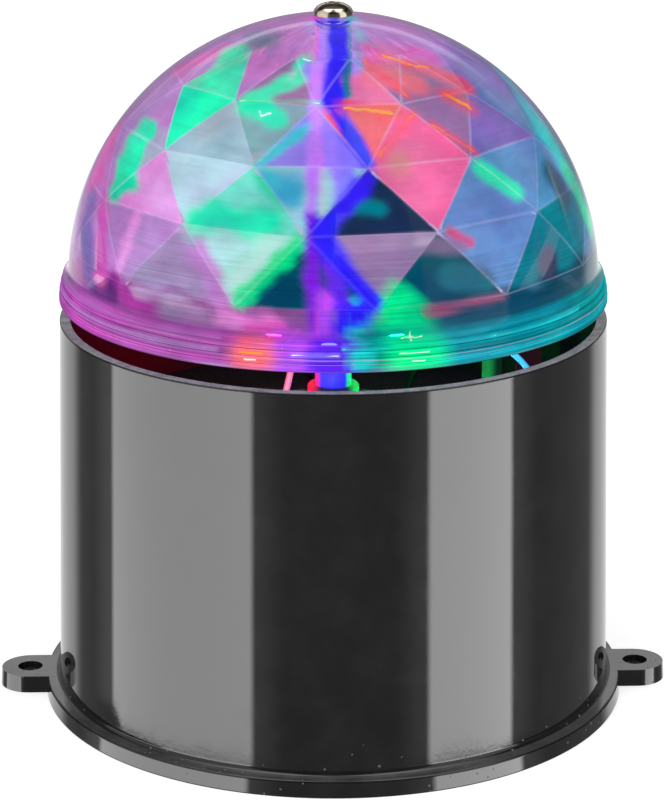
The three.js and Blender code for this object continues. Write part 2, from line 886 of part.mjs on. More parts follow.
function addBoard(group) {
  const board = cut(
    rod(boardRadius, boardBottom, boardTop, roundSides),
    rod(towerRadius + slip, boardBottom - overrun, boardTop + overrun, mediumSides),
    ...drills(boardScrewPlaces, smallScrewShank + slip, boardBottom - overrun, boardTop + overrun),
  );
  addPart(group, 'led_board', board, boardGreen);
  const lensColors = { led_blue: 0x3a4cff, led_green: 0x1ee86a, led_red: 0xff3048 };
  for (const [name, azimuth] of Object.entries(ledAzimuths)) {
    const led = addPart(group, name, ledShape(), { color: lensColors[name], roughness: 0.15 });
    led.position.set(...around(ledCircle, azimuth), boardTop + seat);
    const chip = block(resistorLength, resistorWidth, boardTop + seat, boardTop + seat + resistorHeight);
    const resistor = addPart(group, name.replace('led', 'resistor'), chip, mattBlack);
    resistor.position.set(...around(ledCircle, azimuth + resistorTurn), 0);
    resistor.rotation.z = azimuth + resistorTurn;
  }
  const length = boardTop - deckBottom;
  addSmallScrews(group, 'board_screw', boardScrewPlaces, boardTop, false, length);
}

// Gears. Wheels have short teeth, so that the pinions' few teeth are not undercut.

function involute(radius, baseRadius) {
  const tangent = Math.sqrt(Math.max(radius / baseRadius, 1) ** 2 - 1);
  return tangent - Math.atan(tangent);
}

// phase is the bearing of the middle of one tooth
function gearShape(teeth, addendum, dedendum, phase, flankShares) {
  const pitchRadius = (gearModule * teeth) / 2;
  const baseRadius = pitchRadius * Math.cos(pressureAngle);
  const root = pitchRadius - dedendum;
  const tip = pitchRadius + addendum;
  const halfTooth = Math.PI / (2 * teeth) - toothThinning / (2 * pitchRadius);
  const halfWidthAt = (radius) => {
    return halfTooth + involute(pitchRadius, baseRadius) - involute(radius, baseRadius);
  };
  const radii = flankShares.map((share) => root + share * (tip - root));
  const points = [];
  for (let i = 0; i < teeth; i += 1) {
    const middle = phase + (2 * Math.PI * i) / teeth;
    const rising = radii.map((radius) => toward([0, 0], radius, middle - halfWidthAt(radius)));
    const falling = radii.map((radius) => toward([0, 0], radius, middle + halfWidthAt(radius)));
    points.push(...rising, ...falling.reverse());
  }
  return new THREE.Shape(points.map(([x, y]) => new THREE.Vector2(x, y)));
}

function pinion(phase, bottom, top) {
  const flankShares = [0, 0.31, 0.55, 0.78, 1];
  const shape = gearShape(pinionTeeth, pinionAddendum, gearModule * 0.8, phase, flankShares);
  return extruded(shape, bottom, top);
}

function wheel(teeth, phase, bottom, top) {
  const flankShares = [0, 0.6, 1];
  const shape = gearShape(teeth, wheelAddendum, gearModule * 1.25, phase, flankShares);
  return extruded(shape, bottom, top);
}

// A wheel's gap faces the pinion that drives it, whose tooth points at the wheel
function wheelPhase(teeth, bearingToPinion) {
  return bearingToPinion + Math.PI / teeth;
}

function compoundGear(wheelLevel, wheelBearing, pinionBearing) {
  const wheelTop = wheelLevel + faceWidth;
  const pinionTop = wheelTop + layerPitch;
  const hub = axleRadius + running + hubWall;
  const bore = axleRadius + running;
  const ends = [gearPlateTop + seat, deckBottom - seat];
  const parts = [
    wheel(wheelTeeth, wheelPhase(wheelTeeth, wheelBearing), wheelLevel, wheelTop),
    pinion(pinionBearing, wheelTop, pinionTop),
    rod(hub, ends[0], wheelLevel, smallSides),
    rod(hub, pinionTop, ends[1], smallSides),
  ];
  return cut(join(...parts), rod(bore, ends[0] - overrun, ends[1] + overrun, smallSides));
}

function outputGear() {
  const gear = wheel(outputTeeth, wheelPhase(outputTeeth, secondGearBearing), topLayer, topLayer + faceWidth);
  return cut(gear, rod(journalRadius + running, topLayer - overrun, deckBottom, mediumSides));
}

function gearPlate() {
  const plate = extruded(hullShape([
    ...gearPostPlaces.map(([x, y]) => [x, y, gearPostRadius + plateMargin]),
    [...motorPlace, motorScrewCircle + smallScrewHead + plateMargin],
  ]), gearPlateBottom, gearPlateTop);
  const under = gearPlateBottom - overrun;
  const over = gearPlateTop + overrun;
  const screwHole = smallScrewShank + slip;
  return cut(
    plate,
    rod(journalRadius + running + lowerBushWall + running, under, over, mediumSides),
    ...drills([motorPlace], motorNoseRadius + slip, under, over, mediumSides),
    ...drills([firstPlace, secondPlace], axleRadius + running, under, over),
    ...drills([...gearPostPlaces, ...motorScrewPlaces], screwHole, under, over),
  );
}

function addGearbox(group) {
  addPart(group, 'gear_plate', gearPlate(), mattBlack);
  addSmallScrews(group, 'gear_plate_screw', gearPostPlaces, gearPlateBottom, true, 3 * gearPlateThickness);
  const axle = rod(axleRadius, gearPlateBottom, deckBottom + axleSocketDepth - seat, screwSides);
  addPart(group, 'axle_first', axle, zinc).position.set(...firstPlace, 0);
  addPart(group, 'axle_second', axle, zinc).position.set(...secondPlace, 0);
  const bush = turned([
    [journalRadius + running, gearPlateBottom - seat - lowerBushFlangeThickness],
    [lowerBushFlange, gearPlateBottom - seat - lowerBushFlangeThickness],
    [lowerBushFlange, gearPlateBottom - seat],
    [journalRadius + running + lowerBushWall, gearPlateBottom - seat],
    [journalRadius + running + lowerBushWall, topLayer - seat],
    [journalRadius + running, topLayer - seat],
    [journalRadius + running, gearPlateBottom - seat - lowerBushFlangeThickness],
  ], mediumSides);
  addPart(group, 'lower_bush', bush, brass);
}

// Motor

function motorCan() {
  const can = turned([
    [0, motorBottom],
    [motorRadius, motorBottom],
    [motorRadius, motorTop - motorEdge],
    [motorRadius - motorEdge, motorTop],
    [motorNoseRadius, motorTop],
    [motorNoseRadius, motorTop + motorNoseHeight],
    [0, motorTop + motorNoseHeight],
  ], mediumSides);
  const boreTop = motorTop + motorNoseHeight + overrun;
  const places = motorScrewPlaces.map(([x, y]) => [x - motorPlace[0], y - motorPlace[1]]);
  return cut(
    can,
    rod(motorShaftRadius + running, motorTop - motorShaftDepth - seat, boreTop, smallSides),
    ...drills(places, smallScrewShank + threadGap, gearPlateTop - motorScrewLength, boreTop),
  );
}

function motorEndCap() {
  const middle = (endCapBottom + endCapTop) / 2;
  const half = motorTabThickness / 2;
  const radius = motorRadius - endCapInset;
  const tabs = motorTabBearings.map((bearing) => {
    const tab = block(radius + motorTabReach, motorTabWidth, middle - half, middle + half);
    return tab.translate((radius + motorTabReach) / 2, 0, 0).rotateZ(bearing);
  });
  return join(rod(radius, endCapBottom, endCapTop, mediumSides), ...tabs);
}

function addMotor(group, rotor) {
  addPart(group, 'motor', motorCan(), zinc).position.set(...motorPlace, 0);
  addPart(group, 'motor_end_cap', motorEndCap(), nylon).position.set(...motorPlace, 0);
  addSmallScrews(group, 'motor_screw', motorScrewPlaces, gearPlateTop, false, motorScrewLength);
  const shaftTop = bottomLayer + faceWidth;
  addPart(rotor, 'motor_shaft', rod(motorShaftRadius, motorTop - motorShaftDepth, shaftTop), zinc);
  const teeth = pinion(motorBearing + Math.PI, bottomLayer - seat, shaftTop);
  const bore = rod(motorShaftRadius + running, gearPlateTop, deckBottom);
  addPart(rotor, 'motor_pinion', cut(teeth, bore), brass);
}

// Spindle, its clip and its upper bush

const clipTop = gearPlateBottom - seat - lowerBushFlangeThickness - seat;
const clipBottom = clipTop - clipThickness;
const spindleBottom = clipBottom - spindleFoot;

function spindle() {
  const groove = journalRadius - clipGrooveDepth;
  const shoulder = topLayer + faceWidth + seat;
  const body = turned([
    [0, spindleBottom],
    [journalRadius, spindleBottom],
    [journalRadius, clipBottom - running],
    [groove, clipBottom - running],
    [groove, clipTop + running],
    [journalRadius, clipTop + running],
    [journalRadius, shoulder],
    [spindleRadius, shoulder],
    [spindleRadius, spindleTop],
    [0, spindleTop],
  ], mediumSides);
  const boreDepth = domeScrewLength + overrun;
  return cut(body, rod(domeScrewShank + threadGap, spindleTop - boreDepth, spindleTop + overrun));
}

function retainingClip() {
  const inner = journalRadius - clipGrooveDepth + running;
  const ring = cut(
    rod(clipRadius, clipBottom, clipTop),
    rod(inner, clipBottom - overrun, clipTop + overrun),
  );
  const mouth = block(clipRadius + overrun, clipMouth, clipBottom - overrun, clipTop + overrun);
  return cut(ring, mouth.translate((clipRadius + overrun) / 2, 0, 0));
}

function upperBush() {
  const bore = spindleRadius + running;
  const sleeve = bore + bushWall;
  const bottom = deckBottom - seat;
  return turned([
    [bore, bottom],
    [sleeve, bottom],
    [sleeve, towerTop + seat],
    [bushFlange, towerTop + seat],
    [bushFlange, towerTop + seat + bushFlangeThickness - running],
    [bushFlange - running, towerTop + seat + bushFlangeThickness],
    [bore, towerTop + seat + bushFlangeThickness],
    [bore, bottom],
  ], mediumSides);
}

// Dome

function spherePoint(radius, elevation) {
  return [radius * Math.cos(elevation), domeCentre + radius * Math.sin(elevation)];
}

function arcPoints(radius, from, to, count) {
  const points = [];
  for (let i = 0; i <= count; i += 1) {
    points.push(spherePoint(radius, from + ((to - from) * i) / count));
  }
  return points;
}

function domeOutside() {
  const profile = [[0, brimBottom]];
  for (let i = 0; i < brimSteps; i += 1) {
    const radius = domeRadius + brimReach - i * brimStepInset;
    profile.push([radius, brimBottom + i * brimStepHeight]);
    profile.push([radius, brimBottom + (i + 1) * brimStepHeight]);
  }
  const brimTop = brimBottom + brimSteps * brimStepHeight;
  const start = Math.asin((brimTop - domeCentre) / domeRadius);
  profile.push(...arcPoints(domeRadius, start, Math.PI / 2, domeArcSteps));
  profile[profile.length - 1][0] = 0;
  return turned(profile);
}

// The smooth band at the foot of the hollow, below the facets
function domeBand() {
  const [, firstRowHeight] = spherePoint(domeInnerRadius, facetRowElevations[0]);
  const bandTop = firstRowHeight + bandOverlap;
  const end = Math.asin((bandTop - domeCentre) / domeInnerRadius);
  return turned([
    [0, brimBottom - overrun],
    [domeInnerRadius, brimBottom - overrun],
    ...arcPoints(domeInnerRadius, 0, end, 2),
    [0, bandTop],
  ]);
}

// The hollow's facets: rows of points on a sphere, each row half a step round from the last
function domeFacets() {
  const places = [];
  const corners = [];
  facetRowElevations.forEach((elevation, row) => {
    const [radius, height] = spherePoint(domeInnerRadius, elevation);
    for (let i = 0; i < facetCount; i += 1) {
      const azimuth = facetPhase + ((i + facetRowShifts[row]) * 2 * Math.PI) / facetCount;
      places.push(...around(radius, azimuth), height);
    }
  });
  const point = (row, i) => row * facetCount + ((i + facetCount) % facetCount);
  for (let row = 0; row + 1 < facetRowElevations.length; row += 1) {
    const lead = facetRowShifts[row] > 0 ? 1 : 0;
    for (let i = 0; i < facetCount; i += 1) {
      corners.push(point(row, i), point(row, i + 1), point(row + 1, i + lead));
      corners.push(point(row + 1, i + lead), point(row + 1, i + lead - 1), point(row, i));
    }
  }
  const bottom = places.length / 3;
  const [, bottomHeight] = spherePoint(domeInnerRadius, facetRowElevations[0]);
  places.push(0, 0, bottomHeight, 0, 0, domeCentre + domeInnerRadius);
  const lastRow = facetRowElevations.length - 1;
  for (let i = 0; i < facetCount; i += 1) {
    corners.push(point(0, i + 1), point(0, i), bottom);
    corners.push(point(lastRow, i), point(lastRow, i + 1), bottom + 1);
  }
  const geometry = new THREE.BufferGeometry();
  geometry.setAttribute('position', new THREE.Float32BufferAttribute(places, 3));
  geometry.setIndex(corners);
  return geometry;
}

function dome() {
  const boss = rod(domeBossRadius, domeBossBottom, domeTop + overrun, mediumSides);
  const hollow = cut(join(domeBand(), domeFacets()), boss);
  const screwHole = rod(domeScrewShank + threadGap, domeBossBottom - overrun, domeTop + overrun);
  return cut(domeOutside(), hollow, screwHole);
}

function domeScrew() {
  return panScrew(domeScrewHead, domeScrewHeadHeight, domeScrewShank, domeScrewLength);
}

// Wires

function wire(places) {
  const path = new THREE.CatmullRomCurve3(places.map((place) => new THREE.Vector3(...place)), false, 'centripetal');
  const steps = Math.ceil(path.getLength() / wireStep);
  const options = { steps, extrudePath: path, bevelEnabled: false };
  return new THREE.ExtrudeGeometry(ringShape(wireRadius, wireSides), options);
}

const wireColors = {
  wire_battery_plus: 0xb02020,
  wire_board_plus: 0xc8c8c8,
  wire_battery_minus: 0xc8c8c8,
  wire_motor_plus: 0xb02020,
  wire_motor_minus: 0x202022,
};

function addWires(group) {
  for (const [name, route] of Object.entries(wireRoutes)) {
    addPart(group, name, wire(route), { color: wireColors[name], roughness: 0.45 });
  }
}

// Assembly: one group for each body that moves by itself

const light = new THREE.Group();
const fixed = new THREE.Group();
const rotor = new THREE.Group();
const secondGear = new THREE.Group();
const firstGear = new THREE.Group();
const motorRotor = new THREE.Group();
const slider = new THREE.Group();
const door = new THREE.Group();
light.add(fixed, rotor, secondGear, firstGear, motorRotor, slider, door);
secondGear.position.set(...secondPlace, 0);
firstGear.position.set(...firstPlace, 0);
motorRotor.position.set(...motorPlace, 0);

addPart(fixed, 'housing', housing(), glossBlack);
addPart(fixed, 'base_plate', basePlate(), mattBlack);
addLargeScrews(fixed, 'base_screw', baseBossPlaces, baseRecess + largeScrewHeadHeight + headSink, true);
addPart(door, 'battery_door', batteryDoor(), mattBlack);
addCells(fixed);
addContacts(fixed);
addSwitch(fixed, slider);
addPart(fixed, 'deck', deck(), mattBlack);
addLargeScrews(fixed, 'deck_screw', deckBossPlaces, deckTop, false);
addBoard(fixed);
addGearbox(fixed);
addMotor(fixed, motorRotor);
addPart(fixed, 'upper_bush', upperBush(), mattBlack);
addPart(secondGear, 'gear_second', compoundGear(middleLayer, firstGearBearing, secondGearBearing + Math.PI), nylon);
addPart(firstGear, 'gear_first', compoundGear(bottomLayer, motorBearing, firstGearBearing + Math.PI), nylon);
addPart(rotor, 'output_gear', outputGear(), nylon);
addPart(rotor, 'spindle', spindle(), postPlastic);
addPart(rotor, 'retaining_clip', retainingClip(), zinc);
addPart(rotor, 'dome', dome(), clear);
addPart(rotor, 'dome_screw', domeScrew(), nickel).position.set(0, 0, domeTop + seat);
addWires(fixed);

export default light;
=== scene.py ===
"""A disco projector light: a clear facetted dome over a round black housing with two screw ears."""

from math import acos, asin, atan2, cos, hypot, pi, radians, sin, sqrt, tan

import bmesh
import bpy
import numpy as np
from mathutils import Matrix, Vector


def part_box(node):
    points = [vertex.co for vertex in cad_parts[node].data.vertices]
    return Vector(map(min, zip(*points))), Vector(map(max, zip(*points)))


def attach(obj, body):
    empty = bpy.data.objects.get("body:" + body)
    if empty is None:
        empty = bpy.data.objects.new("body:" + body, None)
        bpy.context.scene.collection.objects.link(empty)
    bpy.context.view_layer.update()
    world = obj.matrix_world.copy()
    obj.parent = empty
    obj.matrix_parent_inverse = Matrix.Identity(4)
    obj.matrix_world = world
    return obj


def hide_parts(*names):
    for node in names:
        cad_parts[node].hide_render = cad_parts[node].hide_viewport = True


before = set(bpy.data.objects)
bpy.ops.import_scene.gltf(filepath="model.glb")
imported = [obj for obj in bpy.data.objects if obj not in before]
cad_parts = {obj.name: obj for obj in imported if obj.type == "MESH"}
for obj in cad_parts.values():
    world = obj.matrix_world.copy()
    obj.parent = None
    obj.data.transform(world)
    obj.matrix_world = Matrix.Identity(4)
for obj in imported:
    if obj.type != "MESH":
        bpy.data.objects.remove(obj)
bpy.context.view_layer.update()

MM = 0.001


def corners(node):
    """Lowest and highest corner of a CAD node, in millimetres."""
    low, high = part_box(node)
    return low / MM, high / MM


# Sizes in millimetres, read from the CAD parts in model.glb where they have them

housing_high = corners("housing")[1]
dome_low, dome_high = corners("dome")
deck_low, deck_high = corners("deck")
screw_low, screw_high = corners("dome_screw")
spindle_low, spindle_high = corners("spindle")
bush_low, bush_high = corners("upper_bush")

WALL = 2.0
DRAFT = radians(1.2)
HOUSING_HEIGHT = housing_high.z
RIM_INNER = deck_high.x + 0.1
RIM_OUTER = RIM_INNER + WALL
RIM_LIP = 0.4
FLANGE_RADIUS = housing_high.y
FLANGE_THICKNESS = 3.0
FLANGE_FILLET = 0.9
EDGE_DRAFT = 0.16
EAR_RADIUS = 5.2
EAR_HOLE_RADIUS = 2.2
EAR_X = housing_high.x - EAR_RADIUS
EAR_PARTS = 32

# The CAD brim's reach past the sphere, and the reach of each step of the brim here
CAD_BRIM_REACH = 1.1
BRIM_REACHES = (1.6, 1.5, 1.28, 0.95)
BRIM_STEP = 1.1
BRIM_BOTTOM = dome_low.z
BRIM_TOP = BRIM_BOTTOM + len(BRIM_REACHES) * BRIM_STEP
FLARE_HEIGHT = 2.0
FLARE_REACH = 0.75
FLARE_PARTS = 12
DOME_WALL = 1.6
DOME_RADIUS = dome_high.x - CAD_BRIM_REACH
DOME_INNER = DOME_RADIUS - DOME_WALL
DOME_TOP = dome_high.z
DOME_CENTRE = DOME_TOP - DOME_RADIUS
DOME_PARTS = 60
CAP_PARTS = 10
BAND_PARTS = 6
BOSS_RADIUS = 3.45
BOSS_BOTTOM = spindle_high.z + 0.3
SCREW_HOLE = 1.65

# Each row of facet corners: degrees up from the dome's centre, and a shift round it in facets
FACET_ROWS = [(8, 0.5), (23.2, 0), (37.7, 0.5), (52.8, 0), (67.5, 0.5)]
FACETS_ROUND = 12
FACET_PHASE = radians(-7.6)
FACET_SPLITS = 20
DOME_SIDES = FACETS_ROUND * FACET_SPLITS

JOURNAL_RADIUS = 2.0
GROOVES = 3
GROOVES_LOW = 4.2
GROOVE_STEP = 1.3
GROOVE_DEPTH = 0.25

SHANK_RADIUS = 1.5
SCREW_SIDE = 0.3
SCREW_SINK = 0.35
SCREW_TURN = 0.6
CROWN_PARTS = 16
CROSS_DEPTH = 0.62
# Length and width of each arm of the cross, over the head's radius, at its foot and its mouth
CROSS_FOOT = (0.55, 0.18)
CROSS_MOUTH = (1.15, 0.3)

# The camera: metres, degrees and the millimetres of its lens
CAMERA_DISTANCE = 0.52485
CAMERA_HEIGHT = 0.21914
CAMERA_TURN = -1.6
CAMERA_PITCH = 16.15
CAMERA_LENS = 141.1
CAMERA_SHIFT = (-0.001, -0.1)

# The painted lamp light and the soft boxes face this many degrees round from the front
PATTERN_TURN = -1.6


def linear(code):
    """A hex colour as linear red, green and blue."""
    parts = [int(code[i : i + 2], 16) / 255 for i in (0, 2, 4)]
    return tuple(p / 12.92 if p <= 0.04045 else ((p + 0.055) / 1.055) ** 2.4 for p in parts)


# Node graphs


class Graph:
    """Short calls for building the node tree of a material or of the world."""

    def __init__(self, owner):
        owner.use_nodes = True
        self.owner = owner
        self.tree = owner.node_tree
        self.tree.nodes.clear()

    def add(self, kind, inputs=None, **settings):
        """A node. Its inputs take sockets, numbers, vectors, and colours as linear values or hex codes."""
        node = self.tree.nodes.new(kind)
        for name, value in settings.items():
            setattr(node, name, value)
        for name, value in (inputs or {}).items():
            self.feed(node.inputs[name], value)
        return node

    def feed(self, socket, value):
        if isinstance(value, bpy.types.NodeSocket):
            self.tree.links.new(value, socket)
        elif socket.type == "RGBA":
            socket.default_value = (*(linear(value) if isinstance(value, str) else value), 1)
        else:
            socket.default_value = value

    def math(self, operation, *values):
        return self.add("ShaderNodeMath", dict(enumerate(values)), operation=operation).outputs[0]

    def times(self, first, second):
        return self.math("MULTIPLY", first, second)

    def plus(self, first, second):
        return self.math("ADD", first, second)

    def most(self, first, second):
        return self.math("MAXIMUM", first, second)

    def vector(self, operation, *values):
        """The outputs of vector maths: the vector first, then the value."""
        return self.add("ShaderNodeVectorMath", dict(enumerate(values)), operation=operation).outputs

    def between(self, value, low, high, to_low=0.0, to_high=1.0, kind="SMOOTHSTEP"):
        """A smooth step from to_low, below low, up to to_high, above high."""
        inputs = dict(enumerate((value, low, high, to_low, to_high)))
        return self.add("ShaderNodeMapRange", inputs, interpolation_type=kind).outputs[0]

    def mix(self, factor, first, second, blend="MIX"):
        inputs = {0: factor, 6: first, 7: second}
        return self.add("ShaderNodeMix", inputs, data_type="RGBA", blend_type=blend).outputs[2]

    def place(self, stretch=(1, 1, 1)):
        """Object coordinates, in metres, times a stretch."""
        return self.vector("MULTIPLY", self.add("ShaderNodeTexCoord").outputs["Object"], stretch)[0]

    def noise(self, place, scale, detail=3.0, roughness=0.5):
        inputs = {"Vector": place, "Scale": scale, "Detail": detail, "Roughness": roughness}
        return self.add("ShaderNodeTexNoise", inputs).outputs["Fac"]

    def streaked(self, stretch, detail=3.0, roughness=0.5):
        """Noise in object coordinates times a stretch."""
        return self.noise(self.place(stretch), 1.0, detail, roughness)

    def axes(self, vector):
        return self.add("ShaderNodeSeparateXYZ", {"Vector": vector}).outputs

    def bump(self, height, strength, distance):
        inputs = {"Height": height, "Strength": strength, "Distance": distance}
        return self.add("ShaderNodeBump", inputs).outputs["Normal"]

    def shader(self, kind, inputs=None):
        return self.add(kind, inputs).outputs[0]

    def blend(self, factor, first, second):
        """One shader at a factor of 0, and another at 1."""
        return self.shader("ShaderNodeMixShader", {0: factor, 1: first, 2: second})

    def finish(self, shader, output="ShaderNodeOutputMaterial"):
        """Sends a shader out, and returns the material or the world that it is for."""
        self.add(output, {"Surface": shader})
        return self.owner

    def principled(self, inputs):
        return self.finish(self.shader("ShaderNodeBsdfPrincipled", inputs))


def material(name):
    return Graph(bpy.data.materials.new(name))


def moulded(name, colour, roughness, mottle=0.15, grain=900.0, relief=0.02):
    """Moulded or rolled stock: an uneven colour and roughness, and a fine grain in relief."""
    g = material(name)
    place = g.place()
    cloud = g.noise(place, 90.0, 4.0)
    fine = g.noise(place, grain, 3.0, 0.6)
    dark = tuple(c * (1 - mottle) for c in colour)
    light = tuple(min(1, c * (1 + mottle)) for c in colour)
    return g.principled({
        "Base Color": g.mix(g.between(cloud, 0.3, 0.7), dark, light),
        "Roughness": g.between(fine, 0.25, 0.75, roughness * 0.8, min(1, roughness * 1.25)),
        "Normal": g.bump(fine, 0.35, relief * MM),
    })


def brushed(name, colour, roughness, lines=(3000, 3000, 60)):
    """Metal with a fine grain along one direction and a few duller patches."""
    g = material(name)
    grain = g.streaked(lines, 2.0)
    cloud = g.noise(g.place(), 400.0)
    worn = g.between(cloud, 0.45, 0.75)
    return g.principled({
        "Base Color": g.mix(worn, colour, tuple(c * 0.78 for c in colour)),
        "Metallic": 1.0,
        "Roughness": g.between(grain, 0.3, 0.7, roughness * 0.7, roughness * 1.4),
        "Normal": g.bump(grain, 0.15, 0.01 * MM),
    })


def gloss_black():
    """The housing's polished black, with faint swirls, scuffs and dust, more of it round the foot."""
    g = material("gloss_black")
    place = g.place()
    wave = g.noise(place, 45.0, 2.0)
    fine = g.noise(place, 1500.0, 2.0)
    cloud = g.noise(place, 140.0, 5.0, 0.65)
    scuff = g.streaked((260, 260, 2200), 3.0, 0.7)
    speck = g.add("ShaderNodeTexVoronoi", {"Vector": place, "Scale": 1100.0}).outputs
    pick = g.math("GREATER_THAN", g.axes(speck["Color"])[0], 0.88)
    foot = g.between(g.axes(place)[2], 3.2 * MM, 9 * MM, 0.2, 0)
    room = g.times(g.plus(g.between(g.noise(place, 70.0, 2.0), 0.5, 0.8, 0.02, 0.1), foot), pick)
    dust = g.math("LESS_THAN", speck["Distance"], room)
    upward = g.axes(g.add("ShaderNodeNewGeometry").outputs["Normal"])[2]
    # Faces that look up are paler, in clouds
    upward_paler = g.times(g.between(upward, 0.7, 0.98), g.between(cloud, 0.2, 0.8, 0.3, 0.8))
    base = g.mix(g.between(cloud, 0.3, 0.8), (0.0075, 0.0075, 0.008), (0.015, 0.015, 0.0155))
    base = g.mix(upward_paler, base, (0.11, 0.11, 0.11))
    rough = g.plus(g.between(cloud, 0.35, 0.8, 0.03, 0.07), g.between(scuff, 0.55, 0.85, 0.0, 0.05))
    relief = g.plus(g.times(wave, 8.0), g.times(fine, 0.5))
    return g.principled({
        "Base Color": g.mix(dust, base, (0.14, 0.14, 0.14)),
        "Roughness": g.plus(rough, g.times(dust, 0.4)),
        "Normal": g.bump(relief, 0.3, 0.006 * MM),
    })


def inside_plastic():
    """The housing's inside: dark and matt, with the lamps' red light painted on one side and their green
    light painted on the other.
    """
    g = material("inside_black")
    place = g.place()
    x = g.axes(place)[0]
    fine = g.noise(place, 900.0, 3.0, 0.6)
    # Painted lamp light: red towards the left, green towards the right
    left = g.between(x, -36 * MM, -12 * MM, 1, 0)
    red_lit_side = g.mix(left, (0.0015, 0.003, 0.004), (0.014, 0.0005, 0.003))
    return g.principled({
        "Base Color": g.mix(g.between(x, 4 * MM, 36 * MM), red_lit_side, (0.001, 0.009, 0.004)),
        "Roughness": g.between(fine, 0.25, 0.75, 0.55, 0.75),
        "Specular IOR Level": 0.1,
        "Normal": g.bump(fine, 0.35, 0.02 * MM),
    })


def cut_edge():
    """The housing's rim, machined flat: matt grey with fine scores and bright specks."""
    g = material("rim_face")
    place = g.place()
    speck = g.noise(place, 3200.0, 3.0, 0.7)
    cloud = g.noise(place, 500.0)
    base = g.mix(g.between(cloud, 0.3, 0.7), (0.17, 0.17, 0.17), (0.32, 0.32, 0.32))
    return g.principled({
        "Base Color": g.mix(g.between(speck, 0.54, 0.7), base, (0.7, 0.7, 0.7)),
        "Roughness": g.between(speck, 0.3, 0.7, 0.42, 0.7),
        "Normal": g.bump(speck, 0.7, 0.05 * MM),
    })


# Meshes and pieces


def softened(profile, radii, steps=5):
    """A closed profile with its corners rounded: radii[i] is the round at profile[i], or 0."""
    points = []
    for i, (corner, radius) in enumerate(zip(profile, radii)):
        at = Vector(corner)
        if radius <= 0:
            points.append(tuple(at))
            continue
        back = (Vector(profile[i - 1]) - at).normalized()
        ahead = (Vector(profile[(i + 1) % len(profile)]) - at).normalized()
        half = back.angle(ahead) / 2
        reach = radius / tan(half)
        centre = at + (back + ahead).normalized() * radius / sin(half)
        start, end = at + back * reach - centre, at + ahead * reach - centre
        for step in range(steps + 1):
            share = step / steps
            turn = (start * (1 - share) + end * share).normalized() * radius
            points.append(tuple(centre + turn))
    return points


def mesh_of(bm, name):
    mesh = bpy.data.meshes.new(name)
    bm.to_mesh(mesh)
    bm.free()
    return mesh


def turned_mesh(name, profile, sides, slots=None):
    """A closed profile of (radius, height) in millimetres, turned about Z. slots gives each edge of
    the profile its material slot."""
    bm = bmesh.new()
    rings = []
    turns = [2 * pi * i / sides for i in range(sides)]
    for radius, height in profile:
        if radius < 1e-4:
            rings.append([bm.verts.new((0, 0, height * MM))])
            continue
        ring = [(radius * MM * cos(a), radius * MM * sin(a), height * MM) for a in turns]
        rings.append([bm.verts.new(point) for point in ring])
    for i, (low, high) in enumerate(zip(rings, rings[1:] + rings[:1])):
        if len(low) == len(high) == 1:
            continue
        for j in range(sides):
            k = (j + 1) % sides
            loop = [low[j % len(low)], low[k % len(low)], high[k % len(high)], high[j % len(high)]]
            face = bm.faces.new(list(dict.fromkeys(loop)))
            face.material_index = slots[i] if slots else 0
    bmesh.ops.recalc_face_normals(bm, faces=bm.faces)
    return mesh_of(bm, name)


def smooth(mesh, angle=35):
    mesh.polygons.foreach_set("use_smooth", [True] * len(mesh.polygons))
    mesh.set_sharp_from_angle(angle=radians(angle))
    return mesh


def in_scene(name, data):
    """A new object in the scene."""
    made = bpy.data.objects.new(name, data)
    bpy.context.scene.collection.objects.link(made)
    return made


def new_piece(name, mesh, body, materials, slot, *nodes):
    """A piece that rides on a body and stands for the CAD nodes listed."""
    made = in_scene(name, mesh)
    for finish in materials:
        mesh.materials.append(finish)
    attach(made, body)
    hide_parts(*nodes)
    return made


def boolean(mesh, tool_mesh, operation):
    """The first mesh joined with, or cut by, the second."""
    first, second = in_scene("first", mesh), in_scene("second", tool_mesh)
    modifier = first.modifiers.new("join", "BOOLEAN")
    modifier.object = second
    modifier.operation = operation
    modifier.solver = "EXACT"
    made = bpy.data.meshes.new_from_object(first.evaluated_get(bpy.context.evaluated_depsgraph_get()))
    for o in (first, second):
        bpy.data.objects.remove(o)
    return made


def bevelled(made, width, angle=40, segments=3):
    modifier = made.modifiers.new("edges", "BEVEL")
    modifier.width = width * MM
    modifier.segments = segments
    modifier.limit_method = "ANGLE"
    modifier.angle_limit = radians(angle)
    modifier.harden_normals = True


def dressed(node, body, finish, slot, bevel=0):
    """A welded copy of a CAD node that stands for it, with bevelled edges or, without a bevel, rounded."""
    bm = bmesh.new()
    bm.from_mesh(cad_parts[node].data)
    bmesh.ops.remove_doubles(bm, verts=bm.verts, dist=1e-6)
    bmesh.ops.dissolve_limit(bm, angle_limit=radians(0.5), verts=bm.verts, edges=bm.edges)
    name = node + "_dressed"
    made = new_piece(name, smooth(mesh_of(bm, name), 50), body, [finish], slot, node)
    if bevel:
        bevelled(made, bevel, 50)
    else:
        modifier = made.modifiers.new("round", "SUBSURF")
        modifier.levels = modifier.render_levels = 2


# Housing


def outer_radius(height):
    return RIM_OUTER + (HOUSING_HEIGHT - height) * tan(DRAFT)


